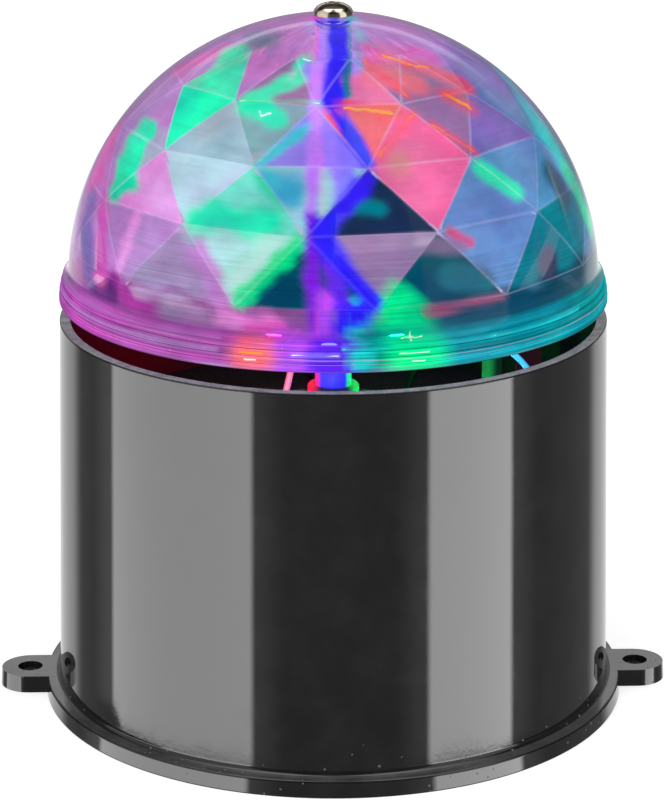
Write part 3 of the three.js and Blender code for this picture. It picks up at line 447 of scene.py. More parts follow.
def ear_mesh(side):
    """One screw ear as a closed plate that runs into the wall."""
    bm = bmesh.new()
    root = outer_radius(0) - WALL / 2 - EAR_X
    arc = [radians(-90 + 180 * i / EAR_PARTS) for i in range(EAR_PARTS + 1)]
    rings = []
    for height, radius in ((0, EAR_RADIUS), (FLANGE_THICKNESS, EAR_RADIUS - EDGE_DRAFT)):
        outline = [(radius * cos(a), radius * sin(a)) for a in arc]
        outline = [(root, -radius)] + outline + [(root, radius)]
        ring = [(side * (EAR_X + x) * MM, side * y * MM, height * MM) for x, y in outline]
        rings.append([bm.verts.new(point) for point in ring])
    bm.faces.new(rings[0][::-1])
    bm.faces.new(rings[1])
    for j in range(len(outline)):
        k = (j + 1) % len(outline)
        bm.faces.new([rings[0][j], rings[0][k], rings[1][k], rings[1][j]])
    bmesh.ops.recalc_face_normals(bm, faces=bm.faces)
    return mesh_of(bm, "ear")


def ear_hole(side):
    """A round block to cut an ear's hole with, longer than the hole."""
    low, high = -1, 5
    profile = [(0, low), (EAR_HOLE_RADIUS, low), (EAR_HOLE_RADIUS, high), (0, high)]
    mesh = turned_mesh("ear_hole", profile, 48)
    for v in mesh.vertices:
        v.co.x += side * EAR_X * MM
    return mesh


def build_housing():
    """The wall, the flange and the ears, with the rim's cut face and the inside in their own slots."""
    foot, rim = FLANGE_THICKNESS + FLANGE_FILLET + 0.15, HOUSING_HEIGHT - RIM_LIP
    # Radius, height and rounding of each corner
    profile = [
        (outer_radius(0) - WALL, 0, 0.2),
        (FLANGE_RADIUS, 0, 0.2),
        (FLANGE_RADIUS - 0.02, 0.35, 0),
        (FLANGE_RADIUS - 0.14, FLANGE_THICKNESS - 0.55, 0),
        (FLANGE_RADIUS - EDGE_DRAFT, FLANGE_THICKNESS, 0.4),
        (outer_radius(FLANGE_THICKNESS), FLANGE_THICKNESS, FLANGE_FILLET),
        (outer_radius(foot), foot, 0),
        (outer_radius(rim), rim, 0),
        (RIM_OUTER, HOUSING_HEIGHT, 0.25),
        (RIM_INNER, HOUSING_HEIGHT, 0.25),
        (outer_radius(rim) - WALL, rim, 0),
    ]
    points = softened([place[:2] for place in profile], [place[2] for place in profile], 8)
    top = HOUSING_HEIGHT - 0.02
    outside, cut, inside = 0, 1, 2
    slots = []
    for low, high in zip(points, points[1:] + points[:1]):
        slots.append(cut if min(low[1], high[1]) > top else inside if low[1] > high[1] else outside)
    mesh = turned_mesh("housing_shell", points, 240, slots)
    for side in (1, -1):
        mesh = boolean(mesh, ear_mesh(side), "UNION")
        mesh = boolean(mesh, ear_hole(side), "DIFFERENCE")
    finishes = [gloss_black(), cut_edge(), inside_plastic()]
    shell = new_piece("housing_shell", smooth(mesh), "base", finishes, "gloss_black", "housing")
    bevelled(shell, 0.3, 55)


# Dome

# Colours, as hex codes
WHITE = "eefcff"
MIST = "c4d6e4"
LILAC = "bf86ca"
MAUVE = "94749f"
ROSE = "f49ce6"
PINK = "f050b8"
MAGENTA = "a52a98"
HOT_PINK = "c452b4"
VIOLET = "b44cf0"
CORAL = "ff6c74"
SALMON = "fb68a0"
PLUM = "5c1c74"
PETAL = "c49ac8"
GRAPE = "5a20e4"
RED = "ff3c50"
GREEN = "10f4b4"
LIME = "00ea8c"
MINT = "9ee6d4"
SAGE = "86b2b6"
CYAN = "1cd8d6"
TEAL = "047c8e"
DEEP_TEAL = "024a60"
SEA = "068e92"
LAGOON = "14b6c0"
NAVY = "1c3052"
STEEL = "5c92c8"
INDIGO = "7b6cb6"
LAVENDER = "948cff"
BLUE = "2a1cf4"
AQUA = "74e6c8"
FOG = "a9bfcc"
THISTLE = "ac8cbc"
ORCHID = "c88cff"
DEEP_VIOLET = "7c1cdc"
ORCHID_PINK = "964a98"
DUSK = "a0587c"
MAGENTA_LIGHT = "f44cec"

# Painted lamp light that the dome's inner faces send out: a colour and how far it covers what lies behind
# it.
# Directions are degrees round from the front and degrees up from the dome's centre.
# A haze lies round a direction, whole within one angle of it and gone beyond another. Strips
# end with the same two angles.
HAZES = [
    (INDIGO, 0.8, 70, 50, 20, 60),
    (MAUVE, 0.8, -60, 45, 10, 50),
    (LILAC, 0.88, -20, 80, 18, 34),
    (ROSE, 0.8, -66, 26, 8, 30),
    (STEEL, 0.8, 52, 26, 14, 36),
    (TEAL, 0.85, 72, 16, 12, 34),
    (LILAC, 0.7, -90, 30, 20, 50),
]
# A facet light fills the facet that faces one direction.
FACET_LIGHTS = [
    (ROSE, 0.85, -51, 28),
    (LILAC, 0.85, -51, 18),
    (THISTLE, 0.92, -36, 13),
    (MIST, 0.85, -36, 33),
    (AQUA, 0.9, -21, 28),
    (MINT, 0.9, -21, 18),
    (FOG, 0.85, -36, 43),
    (SAGE, 0.8, -21, 48),
    (GREEN, 0.95, -51, 48),
    (GREEN, 0.8, -51, 58),
    (MAUVE, 0.9, -21, 58),
    (LILAC, 0.8, -36, 63),
    (MINT, 0.8, -6, 33),
    (LAVENDER, 0.7, -6, 43),
    (DEEP_TEAL, 1.0, -6, 13),
    (NAVY, 1.0, 9, 28),
    (MAUVE, 0.9, 9, 18),
    (CORAL, 0.95, 9, 48),
    (SALMON, 0.95, 24, 43),
    (SALMON, 0.95, 24, 33),
    (SALMON, 0.8, 9, 58),
    (DEEP_TEAL, 1.0, 24, 13),
    (MAUVE, 0.95, 39, 48),
    (MAUVE, 0.95, 24, 63),
    (MAUVE, 0.9, 39, 58),
    (INDIGO, 0.9, 54, 43),
    (STEEL, 0.9, 39, 28),
    (STEEL, 0.9, 39, 18),
    (STEEL, 0.9, 54, 33),
    (TEAL, 0.95, 54, 13),
    (STEEL, 0.9, 69, 28),
    (TEAL, 0.95, 69, 18),
    (STEEL, 0.8, 84, 13),
]
# A strip runs from one direction to another, and where both are the same it is a spot.
STRIPS = [
    (MAGENTA, 0.95, (-100, 3), (-22, 3), 4, 7),
    (DEEP_TEAL, 0.97, (14, 3), (100, 3), 4, 7),
    (PLUM, 0.9, (-62, 5), (-56, 4), 2, 6),
    (MAUVE, 0.95, (-36, 5), (-26, 4), 2, 6),
    (PETAL, 0.9, (-47, 7.8), (-28, 6.6), 0.5, 1.6),
    (PINK, 0.9, (-86, 33), (-80, 26), 2, 7),
    (PINK, 0.7, (-74, 64), (-84, 56), 1, 5),
    (INDIGO, 0.8, (-76, 20), (-66, 8), 1, 6),
    (PINK, 0.6, (-66, 22), (-60, 8), 1, 4),
    (GREEN, 0.95, (-66.5, 38), (-62, 29), 3.6, 6.4),
    (GREEN, 0.85, (-62, 66), (-51, 58), 2, 6),
    (ROSE, 0.8, (-50, 35), (-53, 12), 0.6, 2.5),
    (LILAC, 0.9, (-34, 22), (-25, 10), 1, 4),
    (GREEN, 0.9, (-33, 25), (-15, 26), 1, 5.5),
    (GREEN, 0.5, (-13, 21), (-20, 13), 1, 5),
    (LIME, 0.95, (-8, 22), (-20, 9), 1, 3),
    (GREEN, 0.9, (-25, 57), (-17, 61), 1, 4),
    (GREEN, 0.9, (-30, 53), (-20, 50), 1.5, 4.5),
    (CYAN, 0.9, (-19, 39), (-6, 49), 0.4, 2.4),
    (GREEN, 0.5, (-16, 35), (-10, 33), 1, 5),
    (TEAL, 0.7, (-70, 72), (-50, 71), 1, 5),
    (PINK, 0.7, (28, 70), (50, 66), 2, 6),
    (RED, 0.7, (44, 62), (56, 55), 1, 4),
    (CORAL, 0.8, (20, 63), (34, 59), 1, 6),
    (GREEN, 0.95, (-16, 65), (-13, 68), 0.6, 3),
    (RED, 0.8, (3, 53), (20, 51), 1, 3),
    (CORAL, 0.8, (18, 39), (18, 39), 1, 4),
    (GREEN, 0.9, (41, 35), (49.5, 28.5), 0.8, 3.5),
    (CYAN, 0.85, (92, 50), (80, 39), 1, 5),
    (CYAN, 0.95, (78, 36), (79, 28), 2, 6),
    (DEEP_TEAL, 0.8, (68, 30), (70, 24), 1.5, 5),
    (GREEN, 0.95, (79, 27), (82, 13), 1, 5),
    (NAVY, 0.85, (55, 12), (55, 12), 2, 4.5),
    (RED, 0.5, (27, 23), (32, 20), 0.5, 2),
    (TEAL, 1.0, (5, 30), (11, 29), 0.1, 2.5),
    (MAUVE, 0.7, (20, 21), (30, 20), 0.3, 3),
    (TEAL, 0.8, (26, 14), (34, 12), 1, 4),
    (LIME, 0.97, (13, 8), (16, 3), 2, 7),
    (CYAN, 0.9, (5, 9), (4, 3), 1, 4),
    (ROSE, 0.75, (-22, 5), (-14, 4), 0.8, 4.5),
    (PINK, 0.85, (-17, 3.6), (-12, 3.2), 0.6, 3.6),
    (RED, 0.9, (-14.5, 3), (-13, 3), 0.3, 2),
    (DUSK, 0.8, (20, 7.2), (38, 8), 0.1, 1.3),
    (LAVENDER, 0.06, (0, 66), (0, 84), 4, 7),
    (BLUE, 0.8, (3, 66), (10, 84), 1.2, 2.8),
    (MAGENTA_LIGHT, 0.92, (-90, 85.5), (-50, 85.5), 1, 2.5),
    (BLUE, 0.92, (-30, 85.5), (35, 85.5), 1, 2.5),
    (CYAN, 0.92, (60, 85.5), (95, 85.5), 0.6, 1.6),
    (DEEP_VIOLET, 0.92, (-5, 28), (-3.6, 2), 0.4, 2.6),
    (ORCHID, 0.92, (-7, 66), (-5, 30), 0.4, 2.6),
    (TEAL, 0.8, (6, 66), (5, 57), 0.8, 2),
    (BLUE, 0.9, (1, 66), (0, 57), 1.4, 3),
    (BLUE, 0.9, (-1, 55), (9, 39), 1, 2.6),
    (LAVENDER, 0.8, (3, 39), (3, 33), 1.5, 4),
    (BLUE, 0.95, (9, 36), (-3, 24), 1, 3),
    (GRAPE, 0.9, (0, 18), (2, 8), 1.5, 3.2),
    (BLUE, 0.95, (-2, 22), (8, 10), 1, 3.2),
    (BLUE, 0.95, (7, 9), (0, 4), 1, 4),
    (VIOLET, 0.85, (-2, 10), (-2, 3), 1, 3),
]
# Painted lamp light in strips on the brim, laid after the others and without their ripple
BRIM_STRIPS = [
    (ORCHID_PINK, 0.97, (-110, -1), (-8, -1), 4, 6),
    (SEA, 0.97, (8, -1), (110, -1), 4, 6),
    (LILAC, 0.95, (-110, -3.2), (-8, -3.2), 0.7, 1.3),
    (HOT_PINK, 0.95, (-80, -1.8), (-12, -1.8), 0.2, 0.7),
    (HOT_PINK, 0.95, (-70, 0.8), (-14, 0.8), 0.2, 0.7),
    (LILAC, 0.95, (-90, -0.4), (-24, -0.4), 0.2, 0.7),
    (LAGOON, 0.95, (12, -1.8), (80, -1.8), 0.2, 0.7),
    (CYAN, 0.95, (4, 0.8), (60, 0.8), 0.2, 0.6),
    (INDIGO, 0.95, (8, -3.4), (110, -3.4), 0.4, 1.0),
    (VIOLET, 0.95, (-10, -1), (-4, -1), 1, 8),
    (GRAPE, 0.97, (-2, -1), (3, -1), 2, 5),
    (CYAN, 0.95, (5, -1), (6, -1), 1, 3),
    (LIME, 0.97, (14, -1), (19, -1), 0.5, 7),
    (CORAL, 1.0, (-17.6, -1), (-14, -1), 0.5, 5),
]
# Painted glints, thin lines where a lamp catches an edge: a colour, that of a haze round it or None, two
# directions, and a width in millimetres
HOT_ORANGE = "ff9c20"
HOT_RED = "ff4a20"
HOT_AMBER = "ff7a30"
PEARL = "b9b4dc"
HOT_LINES = [
    (HOT_ORANGE, RED, (29, 68), (39, 64), 0.5),
    (HOT_ORANGE, RED, (39, 64), (48, 62), 0.4),
    (HOT_ORANGE, RED, (44, 54), (50, 49), 0.6),
    (HOT_RED, RED, (44, 54), (56, 53), 0.3),
    (HOT_ORANGE, RED, (4, 53), (19, 51), 0.6),
    (HOT_AMBER, RED, (13, 41), (27, 50), 0.4),
    (HOT_AMBER, RED, (32, 47), (41, 39), 0.36),
    (HOT_AMBER, RED, (16, 67), (28, 55), 0.36),
    (WHITE, GREEN, (-25.4, 51.2), (-24, 50.2), 0.25),
    (WHITE, GREEN, (-24, 50.2), (-21.5, 50.9), 0.3),
    (WHITE, GREEN, (-16, 67.4), (-12.5, 67.2), 0.4),
    (WHITE, LIME, (-34, 53), (-5, 54), 0.2),
    (WHITE, LIME, (16, 1.8), (16.3, 1.8), 0.45),
    (WHITE, LIME, (16.1, 3.2), (16.2, 0.8), 0.14),
    (WHITE, LIME, (14, 1.8), (18.2, 1.8), 0.14),
    (PEARL, None, (10, 37), (24, 23.5), 0.45),
    (PEARL, None, (24, 23), (38, 9), 0.35),
    (PEARL, None, (24, 23.2), (53, 23.2), 0.25),
    (PEARL, None, (39, 37.5), (25, 24), 0.3),
    (PEARL, None, (-20.5, 37), (-7, 24), 0.45),
    (PETAL, None, (-50, 37), (-36.5, 24), 0.45),
    (PETAL, None, (-36, 22.5), (-22, 9), 0.5),
    (PETAL, None, (-37, 22.5), (-50, 8.5), 0.4),
]
BRIM_LINES = [
    (WHITE, LAVENDER, (-8, -0.3), (1, -0.3), 0.15),
    (PETAL, None, (-34, -1.9), (4, -1.9), 0.15),
    (WHITE, LIME, (13, -0.3), (19, -0.3), 0.15),
    (WHITE, LIME, (15.5, -1.9), (18, -1.9), 0.15),
    (MINT, CYAN, (2, 0.9), (34, 0.9), 0.12),
    (HOT_ORANGE, CORAL, (-18.5, -0.3), (-14, -0.3), 0.25),
    (WHITE, CORAL, (-17.4, -1.6), (-15.2, -1.6), 0.2),
    (PETAL, None, (-60, 0.9), (-10, 0.9), 0.13),
    (PETAL, None, (-80, -0.3), (-26, -0.3), 0.12),
    (LAGOON, None, (24, -0.3), (80, -0.3), 0.12),
    (LAGOON, None, (10, -2.8), (70, -2.8), 0.12),
    (ROSE, None, (-70, -2.8), (-20, -2.8), 0.12),
]


def direction(azimuth, elevation):
    """A unit vector, from degrees round from where the pattern faces and degrees up."""
    turn, up = radians(azimuth + PATTERN_TURN), radians(elevation)
    return np.array([cos(up) * sin(turn), -cos(up) * cos(turn), sin(up)])


def degrees_off(vectors, start, end):
    """Angles between unit vectors and the nearest points of an arc between two directions."""
    a, b = direction(*start), direction(*end)
    arc = acos(min(1, a @ b))
    ahead = (b - a * (a @ b)) / max(sin(arc), 1e-9)
    turn = np.clip(np.arctan2(vectors @ ahead, vectors @ a), 0, arc)[:, None]
    near = a * np.cos(turn) + ahead * np.sin(turn)
    return np.degrees(np.arccos(np.clip((vectors * near).sum(1), -1, 1)))


def ripple(points):
    """A smooth uneven wave over the dome, between -1 and 1."""
    x, y, z = points.T * 13
    return (np.sin(1.7 * x + 2.3 * z) + np.sin(2.9 * y - 1.1 * x + 1) + np.sin(4.3 * z + 3.1 * x + 2)) / 3


def lay(light, colour, cover, angle, full, gone):
    """Lays a colour over the light so far, where the angle is small enough."""
    step = np.clip((gone - angle) / (gone - full), 0, 1)
    weight = (step * step * (3 - 2 * step))[:, None]
    light[:] = light * (1 - weight) + np.array([*linear(colour), cover]) * weight


def lay_strips(light, strips, points, turn, uneven):
    for colour, cover, (first, low), (last, high), full, gone in strips:
        angle = degrees_off(points, (first + turn, low), (last + turn, high))
        lay(light, colour, cover, angle + 0.25 * gone * uneven, full, gone)


def dome_light(points, facets, plain):
    """The painted lamp light, as red, green, blue and cover at directions on the dome. facets are the ways
    that their facets face, and plain tells which points are on none."""
    side = np.clip(points[:, 0] * 0.9 + 0.5, 0, 1)[:, None]
    high = np.clip(points[:, 2] * 1.2, 0, 1)[:, None]
    low = np.array([*linear(MAGENTA), 0.8]) * (1 - side) + np.array([*linear(TEAL), 0.85]) * side
    light = low * (1 - high) + np.array([*linear(LILAC), 0.7]) * high
    uneven = ripple(points)
    # The back repeats the front
    for turn in (180, 0):
        for colour, cover, azimuth, elevation, full, gone in HAZES:
            there = (azimuth + turn, elevation)
            lay(light, colour, cover, degrees_off(points, there, there), full, gone)
        for colour, cover, azimuth, elevation in FACET_LIGHTS:
            there = (azimuth + turn, elevation)
            lay(light, colour, cover, degrees_off(facets, there, there) + 90 * plain, 5, 6)
        lay_strips(light, STRIPS, points, turn, uneven)
        lay_strips(light, BRIM_STRIPS, points, turn, 0)
    return light


def around(radius, turn, height):
    """A point at a turn round from the front, in radians."""
    return radius * sin(turn), -radius * cos(turn), height


def on_sphere(radius, elevation):
    return radius * cos(elevation), DOME_CENTRE + radius * sin(elevation)


def arc_profile(radius, first, last, parts):
    return [on_sphere(radius, first + (last - first) * i / parts) for i in range(parts + 1)]


class Shell:
    """Gathers a closed mesh. Each face has a material slot and, on a facet, its facet's direction and
    the distances of its corners from the facet's three edges."""

    def __init__(self):
        self.index, self.points, self.faces, self.slots = {}, [], [], []
        self.facets, self.edges = [], []

    def corner(self, point):
        key = tuple(round(c, 4) for c in point)
        if key not in self.index:
            self.index[key] = len(self.points)
            self.points.append(tuple(point))
        return self.index[key]

    def face(self, points, slot, facet=None, edges=None):
        ids = list(dict.fromkeys(self.corner(p) for p in points))
        if len(ids) > 2:
            self.faces.append(ids)
            self.slots.append(slot)
            self.facets.append(facet)
            self.edges.append(edges or [(9, 9, 9)] * len(ids))

    def rings(self, profile, slot):
        """Rings through a profile of (radius, height)."""
        turns = [FACET_PHASE + 2 * pi * i / DOME_SIDES for i in range(DOME_SIDES)]
        for low, high in zip(profile, profile[1:]):
            for a, b in zip(turns, turns[1:] + turns[:1]):
                quad = [(low, a), (low, b), (high, b), (high, a)]
                self.face([around(radius, turn, height) for (radius, height), turn in quad], slot)

    def facet(self, a, b, c, slot):
        """A flat triangle, split into small ones."""
        n = FACET_SPLITS
        middle = (a + b + c) / 3 - (0, 0, DOME_CENTRE)
        middle /= np.linalg.norm(middle)
        size = np.linalg.norm(np.cross(b - a, c - a))
        reach = [size / np.linalg.norm(side) / n for side in (c - b, c - a, b - a)]

        def piece(*places):
            edges = [((n - i - j) * reach[0], i * reach[1], j * reach[2]) for i, j in places]
            self.face([a + (b - a) * i / n + (c - a) * j / n for i, j in places], slot, middle, edges)

        for i in range(n):
            for j in range(n - i):
                piece((i, j), (i + 1, j), (i, j + 1))
                if i + j < n - 1:
                    piece((i + 1, j), (i + 1, j + 1), (i, j + 1))

    def crescents(self, row, slot):
        """The gaps between a row's flat sides and the round through its corners."""
        n = FACET_SPLITS
        radius, height = hypot(*row[0][:2]), row[0][2]
        for i in range(FACETS_ROUND):
            a, b = row[i], row[(i + 1) % FACETS_ROUND]
            flat = [a + (b - a) * j / n for j in range(n + 1)]
            first = atan2(a[0], -a[1])
            turns = [first + 2 * pi / FACETS_ROUND * j / n for j in range(n + 1)]
            bow = [around(radius, turn, height) for turn in turns]
            for j in range(n):
                self.face([flat[j], flat[j + 1], bow[j + 1], bow[j]], slot)


def brim_profile():
    """The brim, from the foot of the dome's inside out and up over its steps."""
    points = [(DOME_INNER, BRIM_BOTTOM + 0.15), (DOME_INNER + 0.15, BRIM_BOTTOM)]
    for i, reach in enumerate(BRIM_REACHES):
        radius, low = DOME_RADIUS + reach, BRIM_BOTTOM + i * BRIM_STEP
        points += [(radius - 0.12, low + (0 if i == 0 else 0.02)), (radius, low + 0.2)]
        points += [(radius, low + BRIM_STEP - 0.2), (radius - 0.12, low + BRIM_STEP - 0.04)]
    return points


def flare_profile():
    """The hollow curve from the brim's top into the smooth dome."""
    points = []
    for i in range(FLARE_PARTS):
        share = i / FLARE_PARTS
        height = BRIM_TOP + FLARE_HEIGHT * share
        radius = sqrt(DOME_RADIUS**2 - (height - DOME_CENTRE) ** 2)
        points.append((radius + FLARE_REACH * (1 - share) ** 2, height))
    return points


def facet_corners():
    """The rows of corners between the facets, from the lowest up."""
    rows = []
    step = 2 * pi / FACETS_ROUND
    for elevation, shift in FACET_ROWS:
        radius, height = on_sphere(DOME_INNER, radians(elevation))
        turns = [FACET_PHASE + (i + shift) * step for i in range(FACETS_ROUND)]
        rows.append([np.array(around(radius, turn, height)) for turn in turns])
    return rows


def lit_mesh(shell):
    """The shell as a mesh, with the lamps' light painted on it and its corners' distances from facet edges.
    """
    mesh = bpy.data.meshes.new("dome_shell")
    points = np.array(shell.points)
    mesh.from_pydata(points * MM, [], shell.faces)
    mesh.polygons.foreach_set("material_index", shell.slots)
    centred = points - (0, 0, DOME_CENTRE)
    centred /= np.linalg.norm(centred, axis=1)[:, None]
    loops = [(i, facet) for face, facet in zip(shell.faces, shell.facets) for i in face]
    ids = np.array([i for i, facet in loops])
    ways = np.array([centred[i] if facet is None else facet for i, facet in loops])
    plain = np.array([facet is None for i, facet in loops])
    light = dome_light(centred[ids], ways, plain)
    colours = mesh.color_attributes.new("light", "FLOAT_COLOR", "CORNER")
    colours.data.foreach_set("color", light.astype(np.float32).ravel())
    edges = mesh.attributes.new("edges", "FLOAT_VECTOR", "CORNER")
    reaches = np.array([reach for face in shell.edges for reach in face], np.float32)
    edges.data.foreach_set("vector", reaches.ravel())
    bm = bmesh.new()
    bm.from_mesh(mesh)
    bmesh.ops.recalc_face_normals(bm, faces=bm.faces)
    bm.to_mesh(mesh)
    bm.free()
    return mesh


def build_dome():
    shell = Shell()
    skin, inner, stepped = 0, 1, 2

    # Outside: the brim, then the flare and the smooth dome up to the screw hole
    brim, flare = brim_profile(), flare_profile()
    start = asin((BRIM_TOP + FLARE_HEIGHT - DOME_CENTRE) / DOME_RADIUS)
    arc = arc_profile(DOME_RADIUS, start, acos(SCREW_HOLE / DOME_RADIUS), DOME_PARTS)
    shell.rings(brim + flare[:1], stepped)
    shell.rings(flare + arc, skin)

    # Inside, from the screw hole down over the boss and the smooth cap
    cap_foot, cap_top = radians(FACET_ROWS[-1][0]), acos(BOSS_RADIUS / DOME_INNER)
    boss = [(SCREW_HOLE, BOSS_BOTTOM), (BOSS_RADIUS - 0.2, BOSS_BOTTOM), (BOSS_RADIUS, BOSS_BOTTOM + 0.2)]
    shell.rings(arc[-1:] + boss + arc_profile(DOME_INNER, cap_top, cap_foot, CAP_PARTS), inner)

    # The facets, with the crescents next to their end rows
    rows = facet_corners()
    for (_, shift), low, high in zip(FACET_ROWS, rows, rows[1:]):
        lead = 1 if shift else 0
        for i in range(FACETS_ROUND):
            k = (i + 1) % FACETS_ROUND
            up = (i + lead) % FACETS_ROUND
            shell.facet(low[i], low[k], high[up], inner)
            shell.facet(high[up], high[up - 1], low[i], inner)
    shell.crescents(rows[0], inner)
    shell.crescents(rows[-1], inner)

    # The smooth band at the foot
    first = radians(FACET_ROWS[0][0])
    band = [on_sphere(DOME_INNER, first * (1 - i / BAND_PARTS)) for i in range(BAND_PARTS + 1)]
    shell.rings(band + brim[:1], inner)

    finishes = [
        clear_skin(),
        lit_plastic("facet_light", 2400, HOT_LINES),
        lit_plastic("brim_light", 3800, BRIM_LINES, rings=True),
    ]
    new_piece("dome_shell", smooth(lit_mesh(shell), 4), "rotor", finishes, "clear_dome", "dome")


def through_lamps(g, shader):
    """The shader, with rays from lamps passing straight through."""
    shadow = g.add("ShaderNodeLightPath").outputs["Is Shadow Ray"]
    return g.blend(shadow, shader, g.shader("ShaderNodeBsdfTransparent"))


def clear_skin():
    """The dome's polished outside: clear plastic with faint scuffs, with the lamps' magenta and teal light
    painted on as a tint towards its edge.
    """
    g = material("clear_skin")
    place = g.place()
    cloud = g.noise(place, 160.0, 4.0, 0.6)
    limb = g.add("ShaderNodeLayerWeight", {"Blend": 0.5}).outputs["Facing"]
    x, _, z = g.axes(place)[:3]
    # Painted lamp light: magenta on the left and teal on the right towards the edge, lilac over the crown
    crown = g.between(z, 98 * MM, 110 * MM)
    foot = g.mix(g.between(x, 6 * MM, 30 * MM), (0.56, 0.28, 0.62), (0.14, 0.46, 0.48))
    edge = g.mix(crown, foot, (0.52, 0.25, 0.56))
    first = g.math("MULTIPLY_ADD", crown, 0.2, 0.4)
    last = g.math("MULTIPLY_ADD", crown, -0.15, 0.95)
    glass = g.shader("ShaderNodeBsdfPrincipled", {
        "Base Color": g.mix(g.between(limb, first, last), (0.92, 0.82, 0.94), edge),
        "Roughness": g.between(cloud, 0.4, 0.8, 0.01, 0.05),
        "Transmission Weight": 1.0,
        "Specular Tint": (0.25, 0.25, 0.25),
        "IOR": 1.5,
    })
    return g.finish(through_lamps(g, glass))


def hot_line(g, way, start, end, width):
    """The core and the haze, at a unit vector, of a painted glint line between two directions, with a width
    in mm.
    """
    a, b = direction(*start), direction(*end)
    off = g.vector("SUBTRACT", way, a)[0]
    share = g.vector("DOT_PRODUCT", off, (b - a) / ((b - a) @ (b - a)))["Value"]
    held = g.add("ShaderNodeClamp", {"Value": share}).outputs[0]
    near = g.add("ShaderNodeVectorMath", {0: b - a, "Scale": held}, operation="SCALE").outputs[0]
    gap = g.vector("DISTANCE", off, near)["Value"]
    reach = width / DOME_INNER
    return g.between(gap, 0.1 * reach, 0.9 * reach, 1, 0), g.between(gap, 0, 5 * reach, 0.5, 0)


def shaken_way(g, place, half):
    """The direction from the dome's centre to a place shaken by up to half, in millimetres, each way."""
    inputs = {"Vector": place, "Scale": 700.0, "Detail": 3.0}
    wobble = g.add("ShaderNodeTexNoise", inputs).outputs["Color"]
    shaken = g.vector("MULTIPLY_ADD", wobble, (2 * half * MM,) * 3, place)[0]
    centred = g.vector("SUBTRACT", shaken, (half * MM, half * MM, (DOME_CENTRE + half) * MM))[0]
    return g.vector("NORMALIZE", centred)[0]


def shaded_grooves(g, height, colour, level):
    """The brim's colour and level, with painted shade low in each step, a painted highlight near its top,
    and painted level glints.
    """
    step = g.math("DIVIDE", g.math("SUBTRACT", height, BRIM_BOTTOM * MM), BRIM_STEP * MM)
    share = g.math("FRACT", step)
    # Painted shade just above each groove and a painted highlight just below the next
    groove_shade = g.times(g.between(share, 0.02, 0.16, 0.3, 1), g.between(share, 0.7, 0.86, 1, 1.3))
    glint = g.streaked((25, 25, 2600), 3.0, 0.6)
    return g.mix(g.between(glint, 0.55, 0.72, 0, 0.55), colour, PETAL), g.times(level, groove_shade)


def beamed_and_edge_lit(g, place, colour, cover):
    """The facets' colour and cover, with painted lamp beams in the cap, off the post, and pale painted
    highlights along the edges between facets.
    """
    x, y, z = g.axes(place)[:3]
    # Painted lamp beams fanning round the cap, kept off the post
    fan = g.add("ShaderNodeCombineXYZ", {"X": g.math("ARCTAN2", x, y), "Z": g.times(z, 45.0)})
    beam = g.noise(fan.outputs[0], 7.0, 4.0, 0.6)
    off_post = g.between(g.math("ABSOLUTE", x), 2.4 * MM, 3.6 * MM)
    cap = g.times(g.between(z, 112 * MM, 117 * MM), off_post)
    colour = g.mix(g.times(g.between(beam, 0.5, 0.7, 0, 0.75), cap), colour, ROSE)
    colour = g.mix(g.times(g.between(beam, 0.3, 0.48, 0.6, 0), cap), colour, INDIGO)
    edges = g.axes(g.add("ShaderNodeAttribute", attribute_name="edges").outputs["Vector"])
    near = g.math("MINIMUM", edges[0], g.math("MINIMUM", edges[1], edges[2]))
    bright = g.between(g.noise(place, 30.0, 1.0), 0.4, 0.65, 0.03, 0.24)
    # Painted highlights along the edges between facets
    edge_highlight = g.times(g.between(near, 0.08, 0.38, 1, 0), bright)
    return g.mix(edge_highlight, colour, "e6d8ff"), g.most(cover, edge_highlight)


def lit_plastic(name, streaks, lines, rings=False):
    """Clear plastic that gives off the light painted on it, in fine level streaks."""
    g = material(name)
    light = g.add("ShaderNodeAttribute", attribute_name="light").outputs
    place = g.place()
    height = g.axes(place)[2]
    streak = g.streaked((40, 40, streaks), 4.0, 0.65)
    cloud = g.streaked((90, 90, 160), 4.0, 0.6)
    tone = g.streaked((60, 60, 100))
    deep = 0.35 if rings else g.between(height, 80 * MM, 95 * MM, 0.22, 0.06)
    level = g.math("MULTIPLY_ADD", g.between(streak, 0.25, 0.75, -1, 1), deep, 1.1)
    level = g.times(level, g.between(cloud, 0.25, 0.75, 0.78, 1.18))
    tint = g.mix(g.between(tone, 0.3, 0.7), (1.0, 0.8, 1.0), (0.84, 1.12, 1.0))
    colour, cover = g.mix(1.0, light["Color"], tint, "MULTIPLY"), light["Alpha"]
    if rings:
        colour, level = shaded_grooves(g, height, colour, level)
    else:
        colour, cover = beamed_and_edge_lit(g, place, colour, cover)
    way = shaken_way(g, place, 0.15 if rings else 0.6)
    for hot, round_it, start, end, width in lines:
        core, haze = hot_line(g, way, start, end, width)
        if round_it:
            colour = g.mix(haze, colour, round_it)
            cover = g.most(cover, haze)
        colour = g.mix(core, colour, hot)
        cover = g.most(cover, core)
    glow = g.shader("ShaderNodeEmission", {"Color": colour, "Strength": level})
    glass = g.shader("ShaderNodeBsdfPrincipled", {
        "Base Color": (0.62, 0.5, 0.72),
        "Roughness": 0.03,
        "Transmission Weight": 1.0,
        "IOR": 1.5,
    })
    return g.finish(through_lamps(g, g.blend(cover, glass, glow)))


# Spindle, its bush and the screw on top


